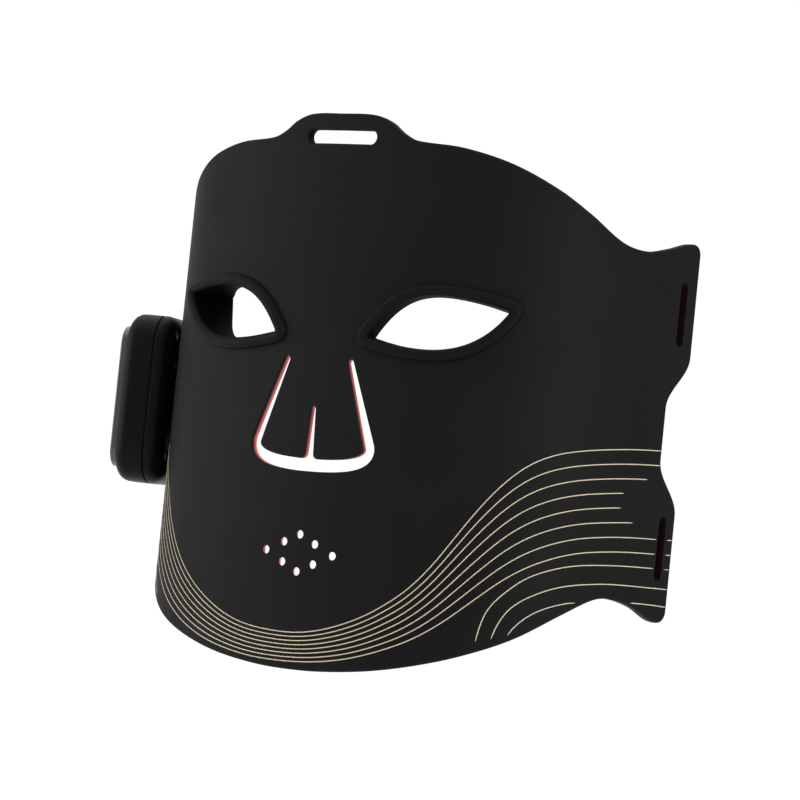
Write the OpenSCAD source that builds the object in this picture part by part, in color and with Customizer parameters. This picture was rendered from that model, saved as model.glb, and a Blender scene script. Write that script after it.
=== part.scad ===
// Light-therapy face mask: a flexible two-layer silicone sheet with clip-in eye
// shields, printed-circuit light boards between the layers, and a small control
// box on the wearer's right side.
//
// The sheet is described in its flat pattern as (s, z). s is the distance from
// the centre line along the outer face and z is the height. pt() wraps a flat
// point on to the bent sheet, and n is a distance out from its outer face.
// Millimetres, +Z up, -Y is the front. The origin is on the skin face at the
// nose bridge, at eye height.

/* [Face sheet] */
// Distance along the outer face from the centre line to the side edge
half_width = 157.6; // [140:0.2:170]
// Whole thickness of the two silicone layers
sheet_t = 3.4; // [2.8:0.1:4.5]
// Thickness of the black outer layer
outer_t = 1.2; // [0.8:0.1:1.6]
// Width of the black lip round the edge of the inner layer
lip_w = 2.2; // [1.5:0.1:4]
// Bend radius at the forehead and nose
front_radius = 216; // [160:1:300]
// Bend radius beside the nose
brow_radius = 129.6; // [100:0.1:180]
// Bend radius at the cheek bones
cheek_radius = 67; // [55:1:90]
// Bend radius at the temples
temple_radius = 118.8; // [90:0.1:160]
// Bend radius near the ears
ear_radius = 280.8; // [200:0.1:400]
// Depth of the notch in each side edge, at the ear
notch_depth = 10.8; // [6:0.2:16]
// Height of the notch's straight middle
notch_flat = 20; // [10:1:40]
// Height of each curved ramp of the notch
notch_ramp = 20; // [12:1:30]
// Height of the notch's centre
notch_z = -31; // [-50:1:-15]
// Rounding of the side edge's top corner
corner_r = 4; // [2:0.5:5]

/* [Eye shields] */
// Distance of the inner eye corner from the centre line
eye_in_s = 21.5; // [18:0.5:28]
// Distance of the outer eye corner from the centre line
eye_out_s = 75.5; // [66:0.5:84]
// Height of the inner eye corner
eye_in_z = -6.2; // [-12:0.1:0]
// Height of the outer eye corner
eye_out_z = 7.3; // [0:0.1:14]
// Width of the rounded bead round each eye
bead_w = 4.9; // [3:0.1:7]
// Height of the bead above the sheet
bead_h = 2.5; // [1.5:0.1:4]
// Wall thickness of the shield's sleeve
sleeve_t = 1.6; // [1.2:0.1:2.4]
// Reach of the sleeve behind the outer face, near the nose
skirt_in = 6.4; // [5.6:0.1:10]
// Reach of the sleeve behind the outer face, at the outer eye corner
skirt_out = 16; // [8:0.5:20]
// Width of the flange that holds the shield behind the sheet
flange_w = 2.6; // [1.5:0.1:4]

/* [Nose and mouth] */
// Width of the nose slit at its upper ends
slit_top_w = 2.7; // [1.5:0.1:4]
// Width of the nose slit along its bottom
slit_low_w = 4.7; // [3:0.1:6]
// Half width of the nose slit at its upper ends
slit_top_s = 14.6; // [11:0.1:18]
// Height of the upper ends of the nose slit
slit_top_z = -16.6; // [-22:0.1:-12]
// Half width of the nose slit at its lower corners
slit_low_s = 25.9; // [22:0.1:30]
// Height of the bottom of the nose slit
slit_low_z = -56.1; // [-62:0.1:-50]
// Diameter of the breathing holes at the mouth
breath_d = 3.1; // [2:0.1:4.5]
// How much wider the breathing holes are in the liner than in the outer layer
breath_clear = 3.1; // [0:0.1:3.5]

/* [Strap slots] */
// Length of the slot in the top tab
top_slot_l = 32; // [26:0.5:36]
// Height of the slot in the top tab
top_slot_w = 5.8; // [4.5:0.1:7]
// Length of each slot near the side edge
side_slot_l = 24.7; // [20:0.1:32]
// Width of each slot near the side edge
side_slot_w = 3.8; // [3:0.1:4]

/* [Light boards] */
// Thickness of the flexible circuit film
film_t = 0.3; // [0.2:0.05:0.4]
// Length of one light-emitting package
led_l = 3.5; // [2.5:0.1:4]
// Width of one light-emitting package
led_w = 2.8; // [2:0.1:3.5]
// Height of one light-emitting package
led_h = 0.7; // [0.5:0.05:0.8]

/* [Control box] */
// Distance of the box's centre from the centre line, on the wearer's right
box_s = 127.5; // [118:0.5:132]
// Height of the box's centre
box_z = -34; // [-50:0.5:-15]
// Width of the box along the sheet
box_w = 44; // [38:0.5:52]
// Height of the box
box_h = 68; // [58:0.5:76]
// Distance from the sheet to the back of the box
box_gap = 2; // [1:0.1:4]
// Depth of the box without its face plate
box_d = 20; // [19:0.5:24]
// Corner rounding of the box
box_r = 13; // [9:0.5:16]
// Edge rounding of the box
box_edge = 5; // [3:0.5:5]
// Wall thickness of the box
wall_t = 2; // [1.5:0.1:2.5]
// Thickness of the face plate
plate_t = 2.8; // [1.4:0.1:3.2]
// Diameter of the power button
button_d = 11; // [8:0.5:14]
// Travel of the power button
button_travel = 0.8; // [0.5:0.05:1]

/* [Hidden] */
$fa = 6;
$fs = 0.5;
e = 0.01;
fit = 0.06; // space left between two pieces that rest on each other
layer_shift = 1.2; // sideways shift of the facets of the layers behind the front face
bend = [[front_radius, 32.4], [brow_radius, 32.4], [cheek_radius, 43.2],
  [temple_radius, 27], [ear_radius, 60]];
black = [0.12, 0.12, 0.125];
// clamp that holds the control box on the sheet
clamp_z = 12; // height of each clamp screw above and below the box's centre
clamp_screw_d = 2;
clamp_head_d = 4.6;
clamp_hole_d = 3.2; // hole for the screw through the sheet and the pads
clamp_w = 18;
clamp_h = 36;
clamp_t = 1.3;
ribbon_w = 8; // width of the ribbon between the box and the sheet
ribbon_t = 0.4;

// --- wrapping the flat pattern on to the bent sheet ---

function turn(i, l) = l / bend[i][0] * 180 / PI;
function run_on(i, l, x, y, a) = let (r = bend[i][0], b = a + turn(i, l))
  [x + r * (sin(b) - sin(a)), y + r * (cos(a) - cos(b)), b];
function walk(s, i, p) = s <= bend[i][1] || i == len(bend) - 1
  ? run_on(i, s, p[0], p[1], p[2])
  : walk(s - bend[i][1], i + 1, run_on(i, bend[i][1], p[0], p[1], p[2]));
function section(s) = let (p = walk(abs(s), 0, [0, 0, 0]), g = s < 0 ? -1 : 1)
  [g * p[0], p[1], g * p[2]];
function pt(s, z, n) = let (p = section(s))
  [p[0] + n * sin(p[2]), p[1] - sheet_t - n * cos(p[2]), z];

// Stands a child, drawn with its outer side towards -Y, on the outer face
module on_sheet(s, z, n = 0) {
  p = section(s);
  translate(pt(s, z, n)) rotate([0, 0, p[2]]) children();
}

// --- outline of the sheet ---

// Height of the top edge at a few distances from the centre line
top_line = [[0, 77.5], [14.5, 77.2], [21.9, 74.6], [27, 70.9], [33, 68.3], [52, 66.6],
  [71, 62.1], [89.4, 54.4], [103, 46.8], [117.7, 38.2], [129.5, 36.3], [141.4, 38.8],
  [151, 41.8], [157.6, 42.3]];
// Height of the bottom edge at a few distances from the centre line
low_line = [[0, -133.2], [15, -132.7], [35, -130.3], [54, -126.1], [71.4, -120.6],
  [88.5, -113.2], [106.3, -102.8], [119.4, -96], [127, -94.8], [139, -97],
  [149, -101.3], [157.6, -102.6]];

lean = 1.1; // an inset is taken straight up or down, and the edges slope

function slope(k, i) = i == 0 ? 0
  : let (j = min(i + 1, len(k) - 1)) (k[j][1] - k[i - 1][1]) / (k[j][0] - k[i - 1][0]);
function height(k, s, i = 0) = i < len(k) - 2 && s > k[i + 1][0] ? height(k, s, i + 1)
  : let (h = k[i + 1][0] - k[i][0], t = (s - k[i][0]) / h, a = h * slope(k, i),
      b = h * slope(k, i + 1), d = k[i + 1][1] - k[i][1])
    k[i][1] + a * t + (3 * d - 2 * a - b) * t * t + (a + b - 2 * d) * t * t * t;
function drop(s, edge, r) = s > edge - r ? r - sqrt(max(0, r * r - pow(s - edge + r, 2))) : 0;
function top_z(s, inset) =
  height(top_line, abs(s)) - lean * inset - drop(abs(s), half_width - inset, corner_r);
function low_z(s, inset) =
  height(low_line, abs(s)) + lean * inset + drop(abs(s), half_width - inset, corner_r + 1);
function flip(a) = [for (i = [len(a) - 1:-1:0]) if (a[i] > 0) -a[i]];
// The columns of the layers behind are shifted, so that no edge lies on an edge in front
function columns(inset, shift) = let (half = concat([for (s = [0:4:12]) s + shift],
    [for (s = [14.5:1.85:33]) s + shift], [for (s = [35.7 + shift:3.2:149.5]) s],
    [for (a = [0:30:90]) half_width - inset - (corner_r + 1) * (1 - sin(a))]))
  concat(flip(half), half);

// --- solids wrapped on to the sheet ---

// Skin of a loft: rings of m points each, closed along the profile
function loft(rings, m, closed) = concat(
  [for (i = [0:rings - (closed ? 1 : 2)]) for (k = [0:m - 1])
    for (f = [[i * m + k, (i + 1) % rings * m + k, (i + 1) % rings * m + (k + 1) % m],
              [i * m + k, (i + 1) % rings * m + (k + 1) % m, i * m + (k + 1) % m]]) f],
  closed ? [] : [[for (k = [0:m - 1]) k], [for (k = [m - 1:-1:0]) (rings - 1) * m + k]]);

// Curved band between two depths, through columns of [s, low z, high z]
module band(cols, n0, n1) {
  polyhedron([for (c = cols) for (q = [[2, n1], [1, n1], [1, n0], [2, n0]])
    pt(c[0], c[q[0]], q[1])], loft(len(cols), 4, false), convexity = 6);
}

// Straight-walled plug through the sheet, on a clockwise outline seen round a centre
module plug(o, c, n0, n1) {
  m = len(o);
  polyhedron(concat([for (q = o) pt(q[0], q[1], n0)], [for (q = o) pt(q[0], q[1], n1)],
    [pt(c[0], c[1], n0), pt(c[0], c[1], n1)]),
    [for (i = [0:m - 1]) let (j = (i + 1) % m) for (f = [[i, j, m + j], [i, m + j, m + i],
      [j, i, 2 * m], [m + i, m + j, 2 * m + 1]]) f], convexity = 6);
}

function oblong(s, z, l, w) = [for (q = [[1, 0], [-1, 180]]) for (a = [0:22.5:180])
  [s - w / 2 * cos(a + q[1]), z + q[0] * (l - w) / 2 + w / 2 * sin(a + q[1])]];

// --- eye opening: two curved lids, with a fan of directions at each sharp corner ---

function bez(p, t) = pow(1 - t, 3) * p[0] + 3 * t * pow(1 - t, 2) * p[1]
  + 3 * t * t * (1 - t) * p[2] + pow(t, 3) * p[3];
function bez_way(p, t) = let (d = pow(1 - t, 2) * (p[1] - p[0])
  + 2 * t * (1 - t) * (p[2] - p[1]) + t * t * (p[3] - p[2])) d / norm(d);
function lid(p, steps) = [for (i = [0:steps]) let (q = bez(p, i / steps),
  d = bez_way(p, i / steps)) [q[0], q[1], -d[1], d[0]]];
function fan(a, b, steps) = let (u = atan2(a[3], a[2]), v = atan2(b[3], b[2]),
    w = v > u ? v - 360 : v)
  [for (i = [1:steps - 1]) let (g = u + (w - u) * i / steps) [b[0], b[1], cos(g), sin(g)]];
eye_in = [eye_in_s, eye_in_z];
eye_out = [eye_out_s, eye_out_z];
upper_lid = lid([eye_in, [34.2, 13.2], [46.8, 12.6], eye_out], 16);
lower_lid = lid([eye_out, [63, -12], [44, -11.4], eye_in], 16);
eye_ring = concat(upper_lid, fan(upper_lid[16], lower_lid[0], 7),
  lower_lid, fan(lower_lid[16], upper_lid[0], 7));
function eye_outline(l) = [for (q = eye_ring) [q[0] + l * q[2], q[1] + l * q[3]]];
corner_soft = 0.15; // set-back and corner size of the sleeve's inner wall
function skirt(s) = skirt_in
  + (skirt_out - skirt_in) * max(0, min(1, (s - 46) / (eye_out_s - 46)));
function shield_profile(s) = let (w = sleeve_t, b = bead_w / 2, k = -skirt(s),
    f = -sheet_t - fit, g = f - 0.8) concat(
  [for (a = [0:22.5:180]) [b + (b - corner_soft) * cos(a) + corner_soft / 2, fit + bead_h * sin(a)]],
  [[corner_soft, k + 0.4], [corner_soft + 0.4, k], [w - 0.4, k], [w, k + 0.4],
   [w, g - 0.1], [w + flange_w - 0.3, g], [w + flange_w, f - 0.3], [w + flange_w - 0.3, f],
   [w, f], [w, fit]]);

module eye_shield() {
  m = len(shield_profile(50));
  polyhedron([for (q = eye_ring) for (f = shield_profile(q[0]))
    pt(q[0] + f[0] * q[2], q[1] + f[0] * q[3], f[1])],
    loft(len(eye_ring), m, true), convexity = 8);
}

// --- openings of the sheet ---

module nose_slit() {
  path = [for (t = [0:0.2:1]) bez([[slit_low_s, slit_low_z + 8.6],
    [slit_low_s + 1.6, slit_low_z + 2.1], [slit_low_s - 8, slit_low_z], [0, slit_low_z]], t)];
  offset(r = -1.8, $fn = 20) offset(delta = 1.8) for (g = [-1, 1]) {
    for (i = [0:len(path) - 2]) hull() {
      translate([g * path[i][0], path[i][1]]) circle(d = slit_low_w, $fn = 16);
      translate([g * path[i + 1][0], path[i + 1][1]]) circle(d = slit_low_w, $fn = 16);
    }
    hull() {
      translate([g * slit_top_s, slit_top_z]) circle(d = slit_top_w, $fn = 16);
      translate([g * path[0][0], path[0][1]]) circle(d = slit_low_w, $fn = 16);
    }
    hull() {
      translate([g * 0.01, -34.8]) circle(d = slit_top_w - 0.4, $fn = 16);
      translate([g * 0.01, slit_low_z]) circle(d = slit_low_w - 0.7, $fn = 16);
    }
  }
}

breath_holes = [[0, -82.4], [0, -96.4], [7.1, -85.6], [-7.1, -85.6], [15.3, -89.3],
  [-15.3, -89.3], [7.1, -93.2], [-7.1, -93.2]];
side_slots = [[150.5, 14.7], [151.1, -74]];
tab_slot_z = 68.7;

module openings(n0, n1, hole_d) {
  rotate([90, 0, 0]) translate([0, 0, sheet_t + n0]) linear_extrude(n1 - n0 + 6)
    nose_slit();
  translate([0, -sheet_t - n1, tab_slot_z]) rotate([-90, 0, 0])
    linear_extrude(n1 - n0) hull() for (g = [-1, 1])
      translate([g * (top_slot_l - top_slot_w) / 2, 0]) circle(d = top_slot_w, $fn = 28);
  for (h = breath_holes) on_sheet(h[0], h[1], n1) rotate([-90, 0, 0])
    cylinder(d = hole_d, h = n1 - n0, $fn = 20);
  for (g = [-1, 1]) mirror([g < 0 ? 1 : 0, 0, 0]) {
    plug(eye_outline(sleeve_t + 0.1), [48.5, 1], n0, n1);
    for (q = side_slots) plug(oblong(q[0], q[1], side_slot_l, side_slot_w), q, n0, n1);
  }
  // screws and ribbon of the control box
  for (g = [-1, 1]) on_sheet(-box_s, box_z + g * clamp_z, n1) rotate([-90, 0, 0])
    cylinder(d = clamp_hole_d, h = n1 - n0, $fn = 20);
  on_sheet(-box_s, box_z, (n0 + n1) / 2) cube([3.4, n1 - n0, ribbon_w + 1.4], center = true);
}

module notches(inset) {
  edge = half_width + 6;
  h = notch_flat / 2 + notch_ramp;
  o = concat([for (i = [0:26]) let (z = -h + 2 * h * i / 26,
      t = min(1, (h - abs(z)) / notch_ramp))
    [half_width + 0.5 - inset - (notch_depth + 0.5) * (1 - cos(180 * t)) / 2,
     notch_z + z * (1 + inset / h)]], [[edge, notch_z + h + 3], [edge, notch_z - h - 3]]);
  for (g = [-1, 1]) mirror([g < 0 ? 1 : 0, 0, 0]) plug(o, [half_width + 3, notch_z], -8, 8);
}

module blank(n0, n1, inset, shift) {
  difference() {
    band([for (s = columns(inset, shift)) [s, low_z(s, inset), top_z(s, inset)]], n0, n1);
    notches(inset);
  }
}

// --- the two silicone layers ---

module outer_shell() color(black) difference() {
  blank(-sheet_t, 0, 0, 0);
  blank(-sheet_t - 1, -outer_t, lip_w, layer_shift);
  openings(-sheet_t - 4, 5, breath_d);
}

module inner_liner() color([0.62, 0.12, 0.10]) difference() {
  blank(-sheet_t, -outer_t - fit, lip_w + 0.1, layer_shift);
  openings(-sheet_t - 4, 5, breath_d + breath_clear);
  for (b = boards) band(grow(b, 0.3), -outer_t - film_t - 4 * fit, 0);
  for (p = all_lights) on_sheet(p[0], p[1], -outer_t) cube(
    [led_l + 0.2, 2 * (film_t + led_h + 5 * fit), led_w + 0.2], center = true);
}

// --- light boards and their packages ---

function grow(b, d) = [for (i = [0:len(b) - 1]) let (c = b[i],
  k = i == 0 ? -d : i == len(b) - 1 ? d : 0) [c[0] + k, c[1] - d, c[2] + d]];
function mirrored(b) = [for (i = [len(b) - 1:-1:0]) [-b[i][0], b[i][1], b[i][2]]];
forehead_board = [for (s = [-96:4:96]) [s, 21 + pow(s / 96, 2) * 4,
  top_z(s, 0) - 8 - max(0, 14 - abs(s)) * 0.2 - (abs(s) < 34 ? (top_z(s, 0) - 66.9) : 0)]];
cheek_board = [for (s = [34:4:94]) [s, -78 + (s - 34) * 0.1,
  -18 + (s > 78 ? min(1, (s - 78) / 12) * 26 : 0)]];
chin_board = [for (s = [-52:4:52]) [s, low_z(s, 0) + 8, -103]];
nose_board = [for (s = [-9:3:9]) [s, -30, -6]];
boards = [forehead_board, cheek_board, mirrored(cheek_board), chin_board, nose_board];

forehead_lights = concat(
  [for (z = [28, 41, 54]) for (s = [-78:13:78]) if (abs(s) < 100 - z * 0.75) [s, z]],
  [for (g = [-1, 1]) for (z = [31, 40]) [g * 90, z]]);
cheek_lights = concat([for (z = [-26, -39, -52, -65]) for (s = [42:12:90]) [s, z]],
  [[84, -8], [84 + 6, 2]]);
chin_lights = concat([for (s = [-44:11:44]) [s, -109.5]], [for (s = [-22:11:22]) [s, -119.5]]);
nose_lights = [[0, -11], [0, -19], [0, -27]];
all_lights = concat(forehead_lights, cheek_lights, [for (p = cheek_lights) [-p[0], p[1]]],
  chin_lights, nose_lights);

module board(b) color([0.78, 0.50, 0.12])
  band(b, -outer_t - 2 * fit - film_t, -outer_t - 2 * fit);

module lights(list) color([0.95, 0.93, 0.85])
  for (p = list) on_sheet(p[0], p[1], -outer_t - 3 * fit - film_t - led_h / 2)
    cube([led_l, led_h, led_w], center = true);

module board_forehead() board(forehead_board);
module board_cheek_left() board(cheek_board);
module board_cheek_right() board(mirrored(cheek_board));
module board_chin() board(chin_board);
module board_nose() board(nose_board);
module lights_forehead() lights(forehead_lights);
module lights_cheek_left() lights(cheek_lights);
module lights_cheek_right() lights([for (p = cheek_lights) [-p[0], p[1]]]);
module lights_chin() lights(chin_lights);
module lights_nose() lights(nose_lights);

module eye_shield_left() color([0.10, 0.10, 0.105]) eye_shield();
module eye_shield_right() color([0.10, 0.10, 0.105]) mirror([1, 0, 0]) eye_shield();

// --- control box, drawn with its centre on the sheet and its outer side towards -Y ---

module at_box() on_sheet(-box_s, box_z) children();
split_y = -9.2;                      // middle of the seal between the two case halves
seal_t = 0.8;
box_back = -box_gap;
box_front = -box_gap - box_d;
front_edge = min(box_edge, box_r / 2 - 0.1);
back_edge = min(box_edge + 1.5, box_r / 2 - 0.1);
back_floor = box_back - 3.5;         // inner face of the back case's floor
plate_inset = 5.4;                   // from the side of the box to the side of its face plate
floor_z = -box_h / 2 + 4.4;          // inner floor, thick enough for the port cover
screw_x = box_w / 2 - 8.2;
screw_z = box_h / 2 - 8.2;
post_lift = 3;                       // the lower posts stand higher, clear of the socket
post_d = 6;
case_screw_d = 2;
case_head_d = 4;

// Prism through the box's depth from y0 out to y1, on a rounded rectangle
module slab(w, h, r, y0, y1) rotate([90, 0, 0]) translate([0, 0, -y0])
  linear_extrude(y0 - y1) rounded(w, h, r);
module rounded(w, h, r) {
  square([w - 2 * r, h], center = true);
  square([w, h - 2 * r], center = true);
  for (x = [-1, 1]) for (z = [-1, 1]) translate([x * (w / 2 - r), z * (h / 2 - r)])
    circle(r, $fn = 48);
}
module rod(x, z, d, y0, y1) translate([x, y0, z]) rotate([90, 0, 0]) cylinder(d = d, h = y0 - y1);

module pillow() hull() for (x = [-1, 1]) for (z = [-1, 1]) {
  for (q = [[box_back, back_edge, 1], [box_front, front_edge, -1]])
    translate([x * (box_w / 2 - box_r), q[0] - q[2] * q[1], z * (box_h / 2 - box_r)])
      rotate([90, 0, 0]) rotate_extrude($fn = 40) translate([box_r - q[1], 0])
        circle(q[1], $fn = 20);
}

module posts(y0, y1, d) for (x = [-1, 1]) for (z = [-1, 1])
  rod(x * screw_x, z * screw_z + (z < 0 ? post_lift : 0), d, y0, y1);

// centre of the button, light and port
button_z = 13;
light_z = 0.5;
light_d = 2;
port_y = -15.6;
port_w = 8.9;
port_h = 3.2;
hinge_y = -11.9;
hinge_z = -box_h / 2 + 1;
pin_r = 0.6;                         // hinge pin of the port cover

module cavity(y0, y1) translate([0, 0, (floor_z + box_h / 2 - wall_t) / 2])
  slab(box_w - 2 * wall_t, box_h / 2 - wall_t - floor_z, box_r - wall_t - 1, y0, y1);

module back_case() color([0.07, 0.07, 0.075]) at_box() difference() {
  intersection() { pillow(); translate([0, split_y / 2 + seal_t / 4, 0])
    cube([box_w + 2, -split_y - seal_t / 2, box_h + 2], center = true); }
  difference() {
    cavity(back_floor, split_y - 1);
    posts(box_back, split_y - 1, post_d);
  }
  posts(box_back + e, split_y - 1, case_screw_d + 0.5);
  posts(box_back + e, box_back - 1.4, case_head_d + 0.4);
  for (g = [-1, 1]) rod(0, g * clamp_z, clamp_screw_d + 0.1, box_back + e, box_back - wall_t - 1);
  translate([0, box_back - 1, 0]) cube([2.6, 6, ribbon_w + 0.6], center = true);
}

module case_seal() color([0.05, 0.05, 0.055]) at_box() difference() {
  slab(box_w - 0.9, box_h - 0.9, box_r - 0.5, split_y + seal_t / 2 - fit, split_y - seal_t / 2 + fit);
  slab(box_w - 2 * wall_t + 0.2, box_h - 2 * wall_t + 0.2, box_r - wall_t, 0, -30);
}

module front_case() color([0.07, 0.07, 0.075]) at_box() difference() {
  intersection() { pillow(); translate([0, split_y - seal_t / 2 - 15, 0])
    cube([box_w + 2, 30, box_h + 2], center = true); }
  difference() {
    cavity(split_y + 1, box_front + wall_t + 0.5);
    posts(split_y, box_front, post_d - 0.4);
  }
  posts(split_y + 1, box_front + 6, case_screw_d + 0.1);
  inlay(0.65, box_front + 0.9, box_front - 1);
  rod(0, button_z, button_d + 3.2, split_y, box_front - 1);
  rod(0, light_z, light_d + 0.2, split_y, box_front - 1);
  // charging socket and the recess of its cover
  translate([0, port_y, -box_h / 2]) cube([port_w + 0.4, port_h + 0.4, 14], center = true);
  translate([-7.2, hinge_y - 6.6, -box_h / 2 - 1]) cube([14.4, 7.9, 3.4]);
  translate([-8.4, hinge_y, hinge_z]) rotate([0, 90, 0]) cylinder(r = pin_r + 0.08, h = 16.8);
}

// Slab in the outline of the face plate, drawn in by a margin
module inlay(margin, y0, y1) let (k = plate_inset + margin)
  slab(box_w - 2 * k, box_h - 2 * k, box_r - k, y0, y1);
module face_plate() color([0.16, 0.16, 0.17]) at_box() difference() {
  union() {
    inlay(0.8, box_front + 0.9 - fit, box_front - 0.4);
    inlay(0, box_front - fit, box_front - plate_t + 0.4);
    inlay(0.4, box_front - plate_t + 0.4 + e, box_front - plate_t);
  }
  rod(0, button_z, button_d + 0.6, box_front + 2, box_front - 4);
  rod(0, light_z, light_d + 0.2, box_front + 2, box_front - 4);
}

button_front = box_front - plate_t - 0.5;
button_back = box_front + 3.2;
module power_button() color([0.10, 0.10, 0.11]) at_box() difference() {
  union() {
    rod(0, button_z, button_d, button_back - 1, button_front);
    rod(0, button_z, button_d + 2, box_front + 2.3, box_front + 1.0);
    rod(0, button_z, 3, button_back, button_front + 1);
  }
  rod(0, button_z, button_d - 3, button_front + 0.35, button_front - 1);
}

board_y = -15.2;                     // outer face of the control board
switch_top = button_back + button_travel + 0.1;
module button_switch() color([0.2, 0.2, 0.21]) at_box() {
  translate([0, (board_y - fit + switch_top + 0.9) / 2, button_z])
    cube([6, board_y - fit - switch_top - 0.9, 6], center = true);
  rod(0, button_z, 3, switch_top + 0.9, switch_top);
}

module status_light() color([0.9, 0.9, 0.85, 0.6]) at_box() {
  rod(0, light_z, light_d, board_y - 0.6, box_front - plate_t + 0.05);
  translate([0, board_y - fit - 0.5, light_z]) cube([3, 0.9, 2], center = true);
}

board_t = 1.2;
module control_board() color([0.05, 0.25, 0.14]) at_box() difference() {
  translate([0, board_y + board_t / 2, 1.5]) cube([21.4, board_t, 58], center = true);
  translate([0, board_y + board_t / 2, floor_z + 2]) cube([9.2, 3, 9], center = true);
}

module charge_port() color([0.7, 0.7, 0.72]) at_box() translate([0, port_y, -box_h / 2 + 6.2])
  difference() {
    linear_extrude(7.3, center = true) square([port_w, port_h], center = true);
    translate([0, 0, -1]) linear_extrude(7.3, center = true) difference() {
      square([port_w - 0.6, port_h - 0.6], center = true);
      square([6.7, 0.7], center = true);
    }
  }

module battery_cell() color([0.55, 0.57, 0.6]) at_box() translate([0, -8.6, 1])
  cube([21, 5.8, 41], center = true);
module battery_pad() color([0.25, 0.25, 0.26]) at_box() translate([0, -12.75, 1])
  cube([19, 2.4, 39], center = true);

module case_screws() color([0.5, 0.5, 0.52]) at_box() {
  posts(box_back - 0.1, box_back - 1.3, case_head_d);
  posts(box_back - 1, box_front + 6.6, case_screw_d);
}

module port_cover() color([0.09, 0.09, 0.095]) at_box() {
  translate([-6.8, hinge_y - 6.2, hinge_z - 0.95]) cube([13.6, 6.2, 1.4]);
  translate([-6.8, hinge_y, hinge_z]) rotate([0, 90, 0]) cylinder(r = 0.95, h = 13.6);
  translate([-8.2, hinge_y, hinge_z]) rotate([0, 90, 0]) cylinder(r = pin_r, h = 16.4);
}

// Soft pads between the box and the sheet: top, middle and bottom
module mounting_pads() color([0.06, 0.06, 0.065]) at_box() difference() {
  for (q = [[23, 13], [0, 26], [-25, 10]]) translate([0, 0, q[0]])
    slab(22, q[1], 4, -0.1, box_back + fit);
  for (g = [-1, 1]) rod(0, g * clamp_z, clamp_hole_d, 1, -4);
  translate([0, -1, 0]) cube([3, 6, ribbon_w + 1], center = true);
}

// Curved plate on the skin side that the two screws pull on
module retaining_plate() color([0.10, 0.10, 0.105]) difference() {
  band([for (s = [-box_s - clamp_w / 2:3:-box_s + clamp_w / 2])
    let (r = max(0, abs(s + box_s) - clamp_w / 2 + 4))
    [s, box_z - clamp_h / 2 + r / 2, box_z + clamp_h / 2 - r / 2]],
    -sheet_t - clamp_t, -sheet_t - fit);
  on_sheet(-box_s, box_z) for (g = [-1, 1])
    rod(0, g * clamp_z, clamp_screw_d + 0.3, sheet_t + 3, -2);
  on_sheet(-box_s, box_z) cube([3.2, 20, ribbon_w + 1.2], center = true);
}
module retaining_screws() color([0.5, 0.5, 0.52]) at_box() for (g = [-1, 1]) {
  rod(0, g * clamp_z, clamp_head_d, sheet_t + 2 * clamp_t, sheet_t + clamp_t + fit);
  rod(0, g * clamp_z, clamp_screw_d, sheet_t + clamp_t + 0.1 + fit, box_back - wall_t + 0.2);
}

// Ribbon that carries power from the control board to the light boards
module ribbon_tail() color([0.78, 0.50, 0.12]) at_box() {
  translate([0, (sheet_t - ribbon_t + box_back - wall_t) / 2, 0])
    cube([ribbon_t, sheet_t - ribbon_t - box_back + wall_t, ribbon_w], center = true);
}

outer_shell();
inner_liner();
eye_shield_left();
eye_shield_right();
board_forehead();
board_cheek_left();
board_cheek_right();
board_chin();
board_nose();
lights_forehead();
lights_cheek_left();
lights_cheek_right();
lights_chin();
lights_nose();
mounting_pads();
retaining_plate();
retaining_screws();
back_case();
case_seal();
front_case();
case_screws();
face_plate();
power_button();
button_switch();
status_light();
control_board();
battery_cell();
battery_pad();
charge_port();
port_cover();
ribbon_tail();
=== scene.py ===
"""LED face mask: the finished look of every piece, built over the CAD frame.

Flat pattern: s runs round the face from the centre line, z is height and n is the distance
out from the outer face, all in millimetres. pt() wraps them on to the bent sheet.
"""
from math import asin, atan2, cos, degrees, pi, radians, sin

import bmesh
import bpy
import numpy as np
from mathutils import Matrix, Vector, geometry


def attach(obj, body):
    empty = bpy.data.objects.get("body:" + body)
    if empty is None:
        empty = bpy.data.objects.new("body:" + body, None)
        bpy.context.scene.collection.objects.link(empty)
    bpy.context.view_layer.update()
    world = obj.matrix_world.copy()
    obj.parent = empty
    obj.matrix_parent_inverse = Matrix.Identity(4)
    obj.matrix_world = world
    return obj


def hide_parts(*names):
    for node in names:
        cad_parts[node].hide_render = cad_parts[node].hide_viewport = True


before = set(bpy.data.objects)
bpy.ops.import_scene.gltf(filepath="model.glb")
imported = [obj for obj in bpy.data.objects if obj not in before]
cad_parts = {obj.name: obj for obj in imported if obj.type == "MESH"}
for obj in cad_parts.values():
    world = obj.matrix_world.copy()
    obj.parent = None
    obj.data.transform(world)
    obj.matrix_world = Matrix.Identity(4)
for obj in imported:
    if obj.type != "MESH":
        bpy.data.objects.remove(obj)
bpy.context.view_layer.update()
MM = 0.001

# --- sizes, as in the CAD model ---
BEND = ((216, 32.4), (129.6, 32.4), (67, 43.2), (118.8, 27), (280.8, 60))
SHEET_T = 3.4
OUTER_T = 1.2
FIT = 0.06
LIP_W = 2.2
HALF_WIDTH = 157.6
TOP_LINE = ((0, 77.5), (14.5, 77.2), (21.9, 74.6), (27, 70.9), (33, 68.3), (52, 66.6), (71, 62.1),
    (89.4, 54.4), (103, 46.8), (117.7, 38.2), (129.5, 36.3), (141.4, 38.8), (151, 41.8),
    (157.6, 42.3))
LOW_LINE = ((0, -133.2), (15, -132.7), (35, -130.3), (54, -126.1), (71.4, -120.6), (88.5, -113.2),
    (106.3, -102.8), (119.4, -96), (127, -94.8), (139, -97), (149, -101.3), (157.6, -102.6))
CORNER_TOP, CORNER_LOW = 4, 5
NOTCH_DEPTH, NOTCH_FLAT, NOTCH_RAMP, NOTCH_Z = 10.8, 20, 20, -31
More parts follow.
